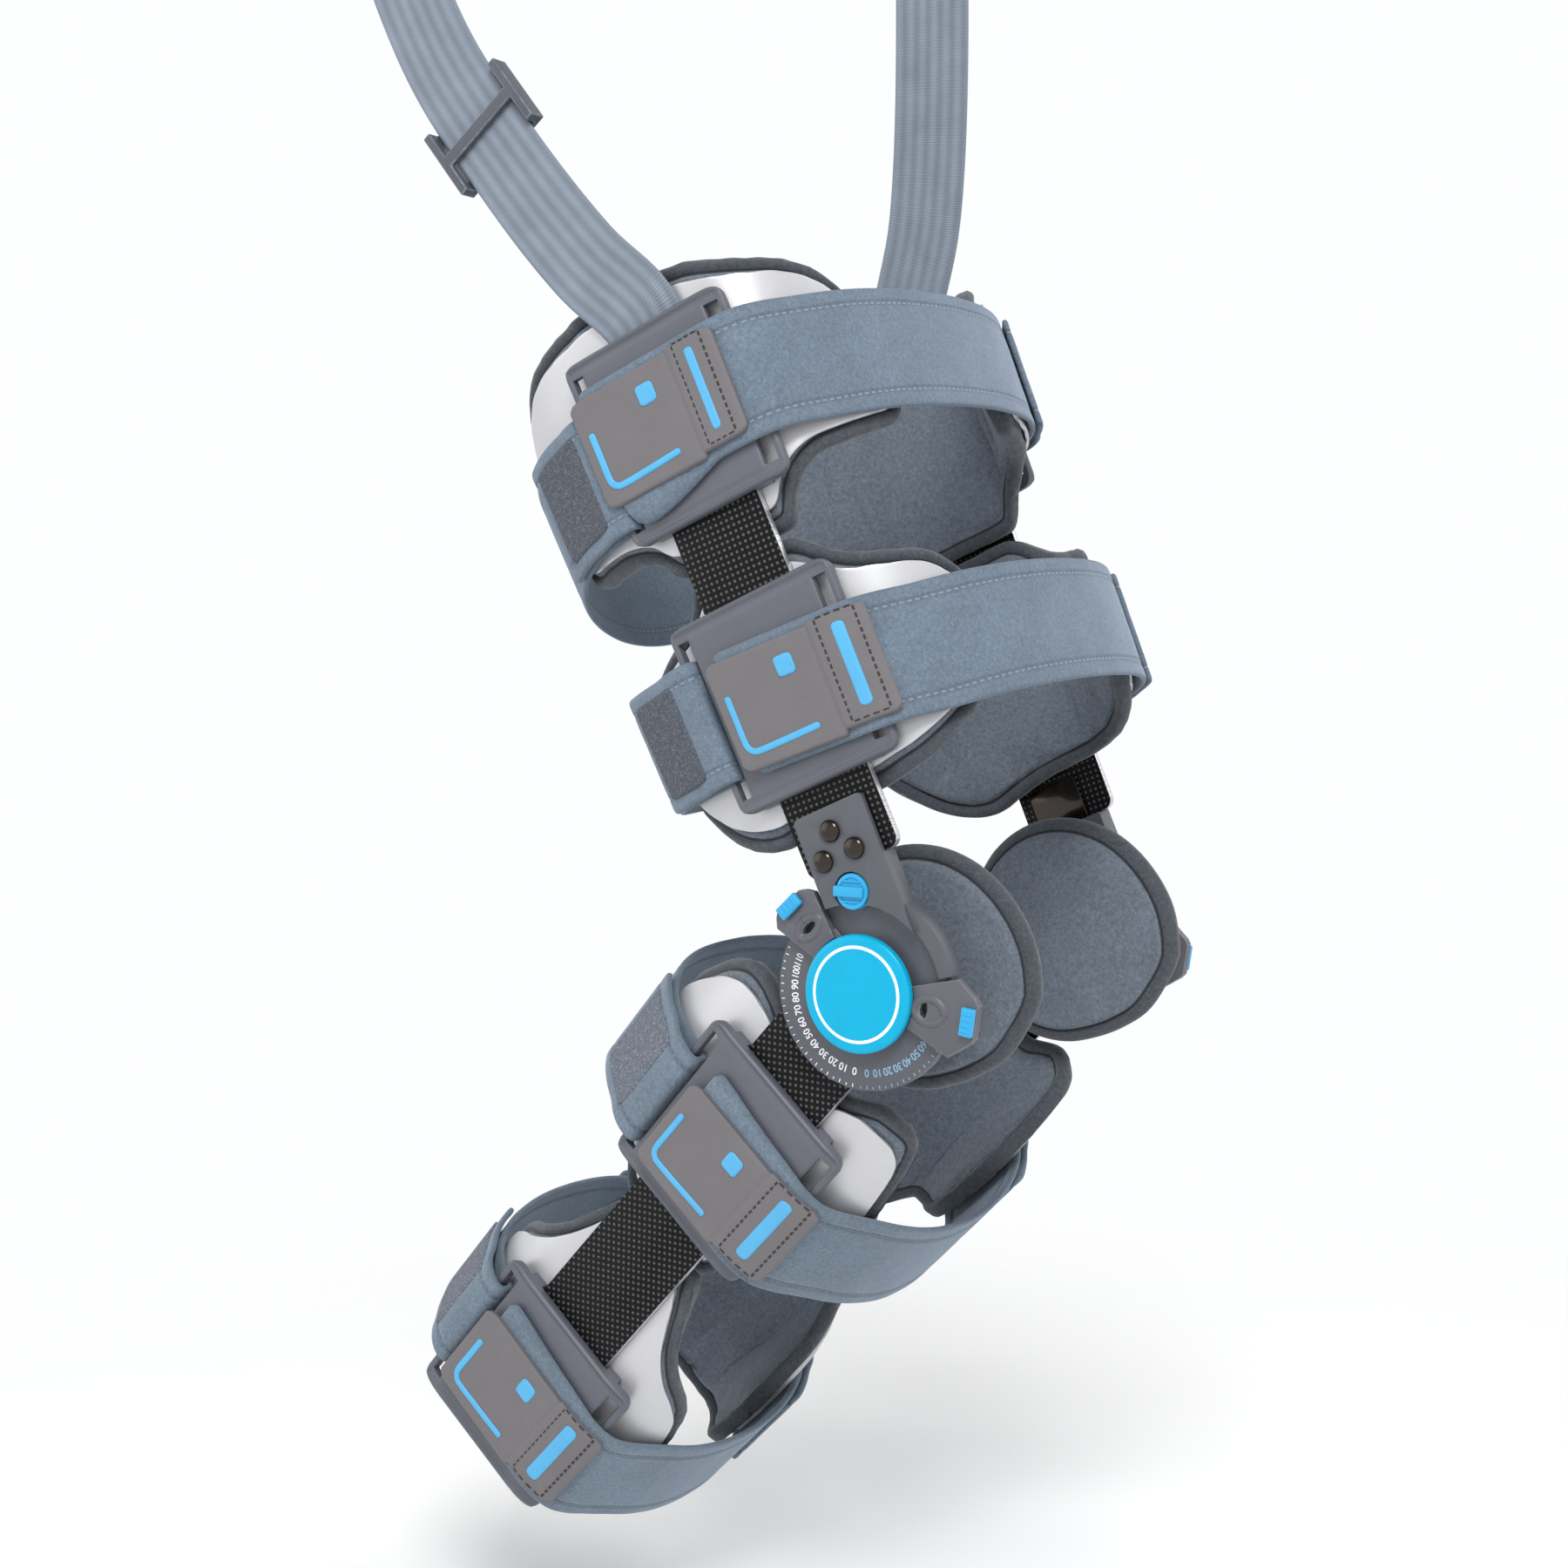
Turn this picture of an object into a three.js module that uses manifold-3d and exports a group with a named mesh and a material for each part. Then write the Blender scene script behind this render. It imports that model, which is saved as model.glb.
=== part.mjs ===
// A hinged knee immobilizer for the right leg, worn bent: two bars on each side, a dial hinge
// between them, four padded cuffs with straps, and a webbing strap that holds the brace up.
// Millimetres. +X is the front of the leg, +Z is up, and -Y is the outer side of the leg.
// The origin is the middle of the knee's axis, half way between the two hinges.

import * as THREE from 'three';
import { mergeVertices } from 'three/addons/utils/BufferGeometryUtils.js';
import Module from 'manifold-3d';

const wasm = await Module();
wasm.setup();

// Driving dimensions
const CLEAR = 0.3;

const KNEE_BEND = 67;
const THIGH_LEAN = 24.3;

// Bars: a side rail from the hinge to the last cuff of its half
const BAR_WIDTH = 38.5;
const BAR_THICK = 3;
const BAR_CORNER = 4;
const THIGH_BAR = { offset: 15.6, end: 236, level: 85.3, splay: 0.045 };
const CALF_BAR = { offset: -1.5, end: 258, level: 81.2, splay: -0.0448 };
const EYE_RADIUS = 25;

// Hinge
const DIAL_RADIUS = 35;
const DIAL_THICK = 4;
const POST_RADIUS = 8.5;
const PIVOT_RADIUS = 12;
const PIVOT_PROUD = 0.6;
const STEP_RADIUS = 31.8;
const ARM_WIDTH = 29.6;
const ARM_FOOT = 12;
const ARM_OFFSET = 14.5;
const ARM_TOP = 64.8;
const ARM_PLATE = 2.2;
const CRESCENT_RADIUS = 37.2;
const CRESCENT_FROM = 14;
const CRESCENT_TO = 88;
const CRESCENT_DROP = 1.9;
const CAP_RADIUS = 21;
const CAP_THICK = 3;
const CAP_DOME = 1;
const CAP_EDGE = 1;
const LEVER_HUB = 1.2;
const LEVER_THICK = 3.6;
const LEVER_NECK = 14;
const LEVER_CHAMFER = { across: 2, along: 1.5 };
const LEVER_SHOULDER = 3;
const WINDOW_LONG = 7;
const WINDOW_SHORT = 3;
const BUTTON = { long: 10, deep: 5, thick: 2.6, corner: 1.2 };
const KNOB = { radius: 6.5, height: 5.2, edge: 0.6, grip: 1.4, gripWidth: 3.4, wall: 2.5,
  across: 12.2, along: 33.8 };
const BAR_START = KNOB.along + KNOB.radius + KNOB.wall;
const RIVET = { head: 4, dome: 2.2, shank: 2.1, shift: -1.7, spread: 6.8, high: 8.5, low: 17.4 };
const RIVET_PLATE = 1.2;

// Soft side pad at the knee
const KNEE_PAD = { thick: 12.5, face: 65.4, hub: 13, soft: 3.2 };

// Cuffs
const SHELL_THICK = 1.6;
const PAD_THICK = 8;
const PAD_EDGE = 5;
const PAD_GAP = 0.7;
const PAD_ROUND = { outer: 0.3, inner: 0.75 };
const SHELL_INSET = PAD_EDGE + 3;
const SPINE_HALF = 22.5;
const PLATE = { half: 34, high: 35.8, thick: 3, corner: 5, rim: 0.8 };
const SLOT = { from: 27, width: 4.4, end: 5.5 };
const LEG_FOOT = 6.2;
const STRAP_WIDTH = 46;
const STRAP_THICK = 2.4;
const STRAP_LOFT = 0.5;
const STRAP_BOW = 0.7;
const FRONT_FREE = 30;
const REAR_FREE = 40;
const STRAP_UNDER_TAB = 14;
const TAB = { width: 41, length: 62, thick: 2, strip: 17, step: 2 };

// Webbing that holds the brace up, and its slide buckle
const WEB_WIDTH = 33;
const WEB_THICK = 1.6;
const SLIDER = { width: 42, length: 29, bar: 5, thick: 2.4, share: 0.0985 };

const radians = (degrees) => degrees * Math.PI / 180;
const barInner = (bar, along) => bar.level + bar.splay * along;

// Finishes
const finish = (color, roughness, metalness = 0) =>
  new THREE.MeshStandardMaterial({ color, roughness, metalness });
const LOOK = {
  bar: finish('#1d1d20', 0.45, 0.3),
  housing: finish('#4a4b50', 0.5),
  cap: finish('#12a9e0', 0.35),
  blue: finish('#2fb4ea', 0.4),
  lever: finish('#505156', 0.5),
  rivet: finish('#5b5048', 0.3, 0.9),
  plate: finish('#66676d', 0.55),
  shell: finish('#d9d9dc', 0.4, 0.6),
  pad: finish('#3f444c', 0.95),
  strap: finish('#5f6d7b', 0.95),
  tab: finish('#5a5552', 0.7),
  web: finish('#5d6873', 0.9),
};

// Closed meshes

// Makes an indexed geometry from points and faces, with its faces turned outwards.
function closed(points, faces) {
  let volume = 0;
  const at = (index) => points[index];
  for (const [a, b, c] of faces) {
    volume += new THREE.Vector3(...at(a)).dot(
      new THREE.Vector3(...at(b)).cross(new THREE.Vector3(...at(c))));
  }
  const order = volume < 0 ? faces.map(([a, b, c]) => [a, c, b]) : faces;
  const geometry = new THREE.BufferGeometry();
  geometry.setAttribute('position', new THREE.Float32BufferAttribute(points.flat(), 3));
  geometry.setIndex(order.flat());
  return geometry;
}

// Moves every point of a geometry by a function and turns its faces outwards again.
function remap(geometry, move) {
  const bare = geometry.clone();
  bare.deleteAttribute('normal');
  bare.deleteAttribute('uv');
  const merged = mergeVertices(bare, 1e-4);
  const position = merged.getAttribute('position');
  const index = merged.getIndex();
  const points = [];
  for (let i = 0; i < position.count; i += 1) {
    points.push(move(position.getX(i), position.getY(i), position.getZ(i)));
  }
  const faces = [];
  for (let i = 0; i < index.count; i += 3) {
    const face = [index.getX(i), index.getX(i + 1), index.getX(i + 2)];
    if (new Set(face).size === 3) faces.push(face);
  }
  return closed(points, faces);
}

const mirror = (geometry) => remap(geometry, (x, y, z) => [x, -y, z]);

function toSolid(geometry) {
  const merged = remap(geometry, (x, y, z) => [x, y, z]);
  return new wasm.Manifold(new wasm.Mesh({
    numProp: 3,
    vertProperties: new Float32Array(merged.getAttribute('position').array),
    triVerts: new Uint32Array(merged.getIndex().array),
  }));
}

function fromSolid(solid) {
  const mesh = solid.getMesh();
  const geometry = new THREE.BufferGeometry();
  const points = [];
  for (let i = 0; i < mesh.vertProperties.length; i += mesh.numProp) {
    points.push(...mesh.vertProperties.slice(i, i + 3));
  }
  geometry.setAttribute('position', new THREE.Float32BufferAttribute(points, 3));
  geometry.setIndex([...mesh.triVerts]);
  return geometry;
}

function join(...geometries) {
  return fromSolid(geometries.map(toSolid).reduce((all, next) => all.add(next)));
}

function cut(geometry, ...tools) {
  return fromSolid(tools.map(toSolid).reduce((all, next) => all.subtract(next), toSolid(geometry)));
}

// The closed body between two grids of points that share their layout.
function slab(outer, inner) {
  const rows = outer.length;
  const columns = outer[0].length;
  const points = [...outer.flat(), ...inner.flat()];
  const id = (layer, i, j) => layer * rows * columns + i * columns + j;
  const faces = [];
  const quad = (a, b, c, d) => faces.push([a, b, c], [a, c, d]);
  for (let i = 0; i + 1 < rows; i += 1) {
    for (let j = 0; j + 1 < columns; j += 1) {
      quad(id(0, i, j), id(0, i + 1, j), id(0, i + 1, j + 1), id(0, i, j + 1));
      quad(id(1, i, j), id(1, i, j + 1), id(1, i + 1, j + 1), id(1, i + 1, j));
    }
    quad(id(0, i, 0), id(1, i, 0), id(1, i + 1, 0), id(0, i + 1, 0));
    const last = columns - 1;
    quad(id(0, i, last), id(0, i + 1, last), id(1, i + 1, last), id(1, i, last));
  }
  for (let j = 0; j + 1 < columns; j += 1) {
    quad(id(0, 0, j), id(0, 0, j + 1), id(1, 0, j + 1), id(1, 0, j));
    quad(id(0, rows - 1, j), id(1, rows - 1, j), id(1, rows - 1, j + 1), id(0, rows - 1, j + 1));
  }
  return closed(points, faces);
}

// Flat pieces of the hinge are drawn in the side view and given a depth outwards from the leg,
// with from and to as distances from the leg's middle plane on the outer side.
function slice(outline, from, to, curveSegments = 12) {
  const geometry = new THREE.ExtrudeGeometry(outline,
    { depth: to - from, bevelEnabled: false, curveSegments });
  return remap(geometry, (x, y, z) => [x, -(from + z), y]);
}

// A turned piece on a side axis through (x, z), from a profile of [radius, distance] pairs.
function turned(profile, segments, x = 0, z = 0) {
  const lathe = new THREE.LatheGeometry(
    profile.map(([radius, distance]) => new THREE.Vector2(radius, distance)), segments);
  return remap(lathe, (px, py, pz) => [x + px, -py, z + pz]);
}

const disc = (radius, from, to, segments, x = 0, z = 0) =>
  turned([[0, from], [radius, from], [radius, to], [0, to]], segments, x, z);

// A full circle's points, with none doubled at its seam
function circle(Kind, x, z, radius, count, radiusZ = radius) {
  const points = [];
  for (let i = 0; i < count; i += 1) {
    const turn = (2 * Math.PI * i) / count;
    points.push(new THREE.Vector2(x + radius * Math.cos(turn), z + radiusZ * Math.sin(turn)));
  }
  return new Kind(points);
}

function rectangle(x0, z0, x1, z1, corner = 0) {
  const shape = new THREE.Shape();
  if (corner === 0) {
    shape.moveTo(x0, z0).lineTo(x1, z0).lineTo(x1, z1).lineTo(x0, z1);
    return shape;
  }
  shape.moveTo(x0 + corner, z0).lineTo(x1 - corner, z0);
  shape.absarc(x1 - corner, z0 + corner, corner, -Math.PI / 2, 0);
  shape.lineTo(x1, z1 - corner);
  shape.absarc(x1 - corner, z1 - corner, corner, 0, Math.PI / 2);
  shape.lineTo(x0 + corner, z1);
  shape.absarc(x0 + corner, z1 - corner, corner, Math.PI / 2, Math.PI);
  shape.lineTo(x0, z0 + corner);
  shape.absarc(x0 + corner, z0 + corner, corner, Math.PI, 1.5 * Math.PI);
  return shape;
}

// Bars, each drawn with across on x and along on z, then leaned out from the leg by its splay
const leanOut = (geometry, bar) =>
  remap(geometry, (x, y, z) => [x, y - bar.splay * Math.abs(z), z]);

const RIVET_MIDDLE = ARM_OFFSET + RIVET.shift;
const RIVET_SPOTS = [
  { across: RIVET_MIDDLE, along: ARM_TOP - RIVET.high },
  { across: RIVET_MIDDLE + RIVET.spread, along: ARM_TOP - RIVET.low },
  { across: RIVET_MIDDLE - RIVET.spread, along: ARM_TOP - RIVET.low },
];

function thighBar() {
  const bar = THIGH_BAR;
  const outline = rectangle(bar.offset - BAR_WIDTH / 2, BAR_START,
    bar.offset + BAR_WIDTH / 2, bar.end, BAR_CORNER);
  for (const spot of RIVET_SPOTS) {
    outline.holes.push(circle(THREE.Path, spot.across, spot.along, RIVET.shank + 2 * CLEAR, 8));
  }
  return leanOut(slice(outline, bar.level, bar.level + BAR_THICK, 3), bar);
}

// The calf bar has a round eye about the hinge's axis, and hangs down from it.
function calfBar() {
  const bar = CALF_BAR;
  const half = BAR_WIDTH / 2;
  const right = bar.offset + half;
  const left = bar.offset - half;
  const angle = (across) => Math.asin(across / EYE_RADIUS);
  const outline = new THREE.Shape();
  outline.absarc(0, 0, EYE_RADIUS, -Math.PI / 2 + angle(right), 1.5 * Math.PI + angle(left));
  outline.lineTo(left, -bar.end + BAR_CORNER);
  outline.lineTo(left + BAR_CORNER, -bar.end);
  outline.lineTo(right - BAR_CORNER, -bar.end);
  outline.lineTo(right, -bar.end + BAR_CORNER);
  outline.holes.push(circle(THREE.Path, 0, 0, PIVOT_RADIUS + 3 * CLEAR, 14));
  return leanOut(slice(outline, bar.level, bar.level + BAR_THICK, 16), bar);
}

// Hinge: levels outwards from the leg's middle plane
const DIAL_BACK = CALF_BAR.level + BAR_THICK + CLEAR;
const DIAL_FACE = DIAL_BACK + DIAL_THICK;
const ARM_BACK = barInner(THIGH_BAR, ARM_TOP) + BAR_THICK + CLEAR;
const ARM_FACE = ARM_BACK + ARM_PLATE;
const REAR_HUB = DIAL_FACE + CLEAR;
const FRONT_HUB = REAR_HUB + LEVER_HUB + CLEAR;
const CAP_BACK = FRONT_HUB + LEVER_HUB + CLEAR;
const PIVOT_END = CALF_BAR.level - PIVOT_PROUD;

// The housing is drawn in the thigh's own directions: across on x, along the thigh on z.
function housing() {
  const left = ARM_OFFSET - ARM_WIDTH / 2;
  const right = ARM_OFFSET + ARM_WIDTH / 2;
  const body = disc(DIAL_RADIUS, DIAL_BACK, DIAL_FACE, 30);
  const pivot = disc(PIVOT_RADIUS, PIVOT_END, DIAL_BACK + 1, 14);
  const post = disc(POST_RADIUS, DIAL_BACK, CAP_BACK - CLEAR, 10);
  const crescent = new THREE.Shape();
  const from = radians(CRESCENT_FROM - THIGH_LEAN);
  const to = radians(CRESCENT_TO);
  crescent.absarc(0, 0, CRESCENT_RADIUS, from, to);
  crescent.absarc(0, 0, STEP_RADIUS, to, from, true);
  const rim = slice(crescent, DIAL_BACK, ARM_FACE - CRESCENT_DROP, 8);
  const root = slice(rectangle(left, ARM_FOOT, right, BAR_START - CLEAR),
    DIAL_BACK, ARM_FACE);
  const plate = slice(rectangle(left, ARM_FOOT, right, ARM_TOP, 2), ARM_BACK, ARM_FACE, 2);
  const step = disc(STEP_RADIUS, DIAL_FACE, ARM_FACE + 1, 28);
  const pocket = disc(KNOB.radius + 2 * CLEAR, DIAL_FACE, ARM_FACE + 1, 16,
    KNOB.across, KNOB.along);
  const arm = cut(join(root, plate), step);
  const holes = RIVET_SPOTS.map((spot) => disc(RIVET.shank + 2 * CLEAR, ARM_BACK - 1, ARM_FACE + 1,
    6, spot.across, spot.along));
  return cut(join(body, pivot, post, rim, arm), pocket, ...holes);
}

function cap() {
  const back = CAP_BACK;
  const top = back + CAP_THICK;
  return turned([[0, back], [CAP_RADIUS, back], [CAP_RADIUS, top - CAP_EDGE],
    [CAP_RADIUS - CAP_EDGE, top], [0, top + CAP_DOME]], 24);
}

function knob() {
  const foot = DIAL_FACE + CLEAR;
  const top = foot + KNOB.height;
  const { across, along, radius } = KNOB;
  const body = turned([[0, foot], [radius, foot], [radius, top - KNOB.edge],
    [radius - KNOB.edge, top], [0, top]], 16, across, along);
  const grip = slice(rectangle(across - radius - 0.2, along - KNOB.gripWidth / 2,
    across + radius * 0.75, along + KNOB.gripWidth / 2, 1), top - 1, top + KNOB.grip, 2);
  return join(body, grip);
}

function rivets() {
  const shelf = barInner(THIGH_BAR, RIVET_SPOTS[1].along - RIVET.head) - CLEAR;
  const low = shelf - RIVET_PLATE;
  const left = RIVET_SPOTS[2].across - RIVET.head;
  const right = RIVET_SPOTS[1].across + RIVET.head;
  const backing = slice(rectangle(left, RIVET_SPOTS[1].along - RIVET.head, right,
    RIVET_SPOTS[0].along + RIVET.head), low, shelf);
  const heads = RIVET_SPOTS.map(({ across, along }) => {
    const seat = ARM_FACE + CLEAR;
    return turned([[0, low + 0.4], [RIVET.shank, low + 0.4], [RIVET.shank, seat],
      [RIVET.head, seat], [RIVET.head * 0.8, seat + RIVET.dome * 0.65],
      [0, seat + RIVET.dome]], 8, across, along);
  });
  return join(backing, ...heads);
}

// The two stop levers turn about the hinge's axis over the dial. Angles are in the side view,
// counted from the front, and the lever's parts are given about its own middle line.
const LEVERS = [
  { name: 'rear', middle: 134, from: -15, to: 15, reach: 39.5, tip: 42.5, hub: REAR_HUB,
    window: 30, button: 40.2 },
  { name: 'front', middle: -8, from: -21, to: 20, reach: 39.5, tip: 46, hub: FRONT_HUB,
    window: 25.5, button: 43.4 },
];

function lever({ from, to, reach, tip, hub }, window) {
  const inner = CAP_RADIUS + 2 * CLEAR;
  const edge = (radius, degrees) =>
    [radius * Math.cos(radians(degrees)), radius * Math.sin(radians(degrees))];
  const half = BUTTON.long / 2 + LEVER_SHOULDER;
  const { across, along } = LEVER_CHAMFER;
  const blade = new THREE.Shape();
  blade.absarc(0, 0, inner, radians(from), radians(to));
  blade.lineTo(...edge(reach, to));
  blade.lineTo(tip - along, half);
  blade.lineTo(tip, half - across);
  blade.lineTo(tip, across - half);
  blade.lineTo(tip - along, -half);
  blade.lineTo(...edge(reach, from));
  blade.holes.push(circle(THREE.Path, window, 0, WINDOW_SHORT / 2, 8, WINDOW_LONG / 2));
  const body = slice(blade, REAR_HUB, REAR_HUB + LEVER_THICK, 4);
  const ring = circle(THREE.Shape, 0, 0, CAP_RADIUS - 2, 16);
  ring.holes.push(circle(THREE.Path, 0, 0, POST_RADIUS + 4 * CLEAR, 10));
  const hubRing = slice(ring, hub, hub + LEVER_HUB, 12);
  const neck = slice(rectangle(CAP_RADIUS - 4, -LEVER_NECK / 2, inner + 2, LEVER_NECK / 2),
    hub, hub + LEVER_HUB);
  return join(body, hubRing, neck);
}

// A push button stands on its lever at the tip, and slides along the lever.
function button(radius) {
  const foot = REAR_HUB + LEVER_THICK + CLEAR;
  return slice(rectangle(radius - BUTTON.deep / 2, -BUTTON.long / 2,
    radius + BUTTON.deep / 2, BUTTON.long / 2, BUTTON.corner), foot, foot + BUTTON.thick, 1);
}

// The soft pad at the knee's side: a rounded disc with a corner low in front, on a round hub
const KNEE_PAD_EDGE = [
  { angle: 0, radius: 55 }, { angle: 20, radius: 55 }, { angle: 40, radius: 54 },
  { angle: 60, radius: 53 }, { angle: 80, radius: 51 }, { angle: 100, radius: 48 },
  { angle: 120, radius: 44 }, { angle: 140, radius: 40 }, { angle: 160, radius: 37 },
  { angle: 180, radius: 35 }, { angle: 200, radius: 34 }, { angle: 220, radius: 34 },
  { angle: 240, radius: 35 }, { angle: 260, radius: 37 }, { angle: 280, radius: 39 },
  { angle: 300, radius: 41 }, { angle: 318, radius: 45 }, { angle: 330, radius: 49 },
  { angle: 345, radius: 53 },
];

function kneePad() {
  const { thick, face, hub, soft } = KNEE_PAD;
  const rings = [
    { scale: 0, level: face - thick }, { scale: 0.75, level: face - thick },
    { scale: 0.95, level: face - thick + soft }, { scale: 1, level: face - soft },
    { scale: 0.93, level: face },
  ];
  const points = [[0, -(face - thick), 0]];
  const count = KNEE_PAD_EDGE.length;
  for (const ring of rings.slice(1)) {
    for (const { angle, radius } of KNEE_PAD_EDGE) {
      const r = radius * ring.scale;
      points.push([r * Math.cos(radians(angle)), -ring.level, r * Math.sin(radians(angle))]);
    }
  }
  points.push([0, -face, 0]);
  const faces = [];
  const id = (ring, i) => 1 + ring * count + (i % count);
  for (let i = 0; i < count; i += 1) {
    faces.push([0, id(0, i), id(0, i + 1)]);
    for (let ring = 0; ring + 2 < rings.length; ring += 1) {
      faces.push([id(ring, i), id(ring + 1, i), id(ring + 1, i + 1)]);
      faces.push([id(ring, i), id(ring + 1, i + 1), id(ring, i + 1)]);
    }
    faces.push([points.length - 1, id(rings.length - 2, i + 1), id(rings.length - 2, i)]);
  }
  return join(closed(points, faces), disc(hub, face - 2, PIVOT_END - CLEAR, 16));
}

// Cuffs

// The outline of a cuff round the leg, seen along the leg: flat over the bar, then rounded to
// the front and to the rear. Lengths round it are counted from the bar's middle line, with the
// front positive, and go on past the middle of the leg to its other side.
class Section {
  constructor({ half, front, rear, power = 2.2 }) {
    this.half = half;
    this.power = power;
    this.front = this.corner(front - SPINE_HALF);
    this.rear = this.corner(rear - SPINE_HALF);
    this.frontLength = SPINE_HALF + this.front.at(-1).length;
    this.rearLength = SPINE_HALF + this.rear.at(-1).length;
  }

  point(reach, turn) {
    const e = 2 / this.power;
    return { x: reach * Math.sin(turn) ** e, out: this.half * Math.cos(turn) ** e };
  }

  corner(reach) {
    const steps = 90;
    const table = [{ reach, turn: 0, length: 0 }];
    let last = this.point(reach, 0);
    for (let i = 1; i <= steps; i += 1) {
      const turn = (i / steps) * (Math.PI / 2) * 0.999999;
      const next = this.point(reach, turn);
      const length = table.at(-1).length + Math.hypot(next.x - last.x, next.out - last.out);
      table.push({ reach, turn, length });
      last = next;
    }
    return table;
  }

  // The place and the outward direction at a length round the section
  at(length) {
    if (length > this.frontLength) {
      const there = this.at(2 * this.frontLength - length);
      return { ...there, out: -there.out, normalOut: -there.normalOut };
    }
    if (length < -this.rearLength) {
      const there = this.at(-2 * this.rearLength - length);
      return { ...there, out: -there.out, normalOut: -there.normalOut };
    }
    if (Math.abs(length) <= SPINE_HALF) {
      return { x: length, out: this.half, normalX: 0, normalOut: 1 };
    }
    const way = Math.sign(length);
    const table = way > 0 ? this.front : this.rear;
    const wanted = Math.abs(length) - SPINE_HALF;
    let i = 1;
    while (i < table.length - 1 && table[i].length < wanted) i += 1;
    const share = (wanted - table[i - 1].length) / (table[i].length - table[i - 1].length);
    const turn = table[i - 1].turn + Math.min(share, 1) * (table[i].turn - table[i - 1].turn);
    const { reach } = table[0];
    const { x, out } = this.point(reach, turn);
    const slopeX = (x / reach) ** (this.power - 1) / reach;
    const slopeOut = (out / this.half) ** (this.power - 1) / this.half;
    const size = Math.hypot(slopeX, slopeOut);
    return { x: way * (SPINE_HALF + x), out, normalX: way * slopeX / size,
      normalOut: slopeOut / size };
  }
}

// Edge tables: share of the reach round the leg, and shares of the rise and of the fall
const THIGH_TOP = {
  front: [
    { at: 0, up: 1, down: 1 }, { at: 0.2, up: 0.95, down: 1 }, { at: 0.26, up: 0.92, down: 0.96 },
    { at: 0.33, up: 0.88, down: 0.76 }, { at: 0.46, up: 0.82, down: 0.6 },
    { at: 0.64, up: 0.75, down: 0.54 }, { at: 0.8, up: 0.6, down: 0.5 },
    { at: 0.93, up: 0.3, down: 0.45 },
    { at: 1, up: -0.02, down: 0.3 },
  ],
  rear: [
    { at: 0, up: 1, down: 1 }, { at: 0.2, up: 1, down: 1 }, { at: 0.28, up: 0.99, down: 0.97 },
    { at: 0.36, up: 0.96, down: 0.82 }, { at: 0.48, up: 0.92, down: 0.74 },
    { at: 0.64, up: 0.84, down: 0.72 }, { at: 0.8, up: 0.67, down: 0.7 },
    { at: 0.93, up: 0.4, down: 0.55 },
    { at: 1, up: 0.08, down: 0.26 },
  ],
};
const THIGH_LOW = {
  front: [
    { at: 0, up: 1, down: 0.9 }, { at: 0.2, up: 1, down: 0.88 }, { at: 0.27, up: 0.94, down: 0.87 },
    { at: 0.34, up: 0.84, down: 0.85 }, { at: 0.46, up: 0.72, down: 0.81 },
    { at: 0.62, up: 0.65, down: 0.7 }, { at: 0.79, up: 0.57, down: 0.53 },
    { at: 0.93, up: 0.34, down: 0.3 },
    { at: 1, up: 0.06, down: 0.06 },
  ],
  rear: [
    { at: 0, up: 1, down: 0.9 }, { at: 0.2, up: 1, down: 0.96 }, { at: 0.28, up: 0.97, down: 0.99 },
    { at: 0.36, up: 0.8, down: 1 }, { at: 0.48, up: 0.69, down: 0.96 },
    { at: 0.63, up: 0.6, down: 0.84 }, { at: 0.79, up: 0.5, down: 0.62 },
    { at: 0.93, up: 0.34, down: 0.36 },
    { at: 1, up: 0.08, down: 0.08 },
  ],
};
const CALF_TOP = {
  front: [
    { at: 0, up: 0.86, down: 1 }, { at: 0.28, up: 0.86, down: 1 }, { at: 0.36, up: 0.92, down: 0.98 },
    { at: 0.44, up: 0.97, down: 0.82 }, { at: 0.52, up: 1, down: 0.7 },
    { at: 0.66, up: 0.99, down: 0.64 }, { at: 0.8, up: 0.94, down: 0.6 },
    { at: 0.92, up: 0.78, down: 0.5 }, { at: 1, up: 0.5, down: 0.3 },
  ],
  rear: [
    { at: 0, up: 0.86, down: 1 }, { at: 0.2, up: 0.9, down: 1 }, { at: 0.3, up: 0.96, down: 0.98 },
    { at: 0.42, up: 0.99, down: 0.8 }, { at: 0.54, up: 0.96, down: 0.68 },
    { at: 0.66, up: 0.84, down: 0.63 }, { at: 0.78, up: 0.64, down: 0.6 },
    { at: 0.9, up: 0.42, down: 0.52 }, { at: 1, up: 0.12, down: 0.3 },
  ],
};
const CALF_LOW = {
  front: [
    { at: 0, up: 1, down: 1 }, { at: 0.27, up: 1, down: 1 }, { at: 0.33, up: 0.93, down: 1 },
    { at: 0.4, up: 0.82, down: 1 }, { at: 0.5, up: 0.67, down: 1 },
    { at: 0.64, up: 0.54, down: 1 }, { at: 0.8, up: 0.43, down: 0.98 },
    { at: 0.93, up: 0.3, down: 0.84 }, { at: 1, up: 0.12, down: 0.5 },
  ],
  rear: [
    { at: 0, up: 1, down: 1 }, { at: 0.27, up: 1, down: 1 }, { at: 0.35, up: 0.85, down: 1 },
    { at: 0.43, up: 0.72, down: 1 }, { at: 0.53, up: 0.6, down: 1 },
    { at: 0.66, up: 0.5, down: 1 }, { at: 0.8, up: 0.42, down: 0.96 },
    { at: 0.93, up: 0.3, down: 0.8 }, { at: 1, up: 0.12, down: 0.5 },
  ],
};

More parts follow.
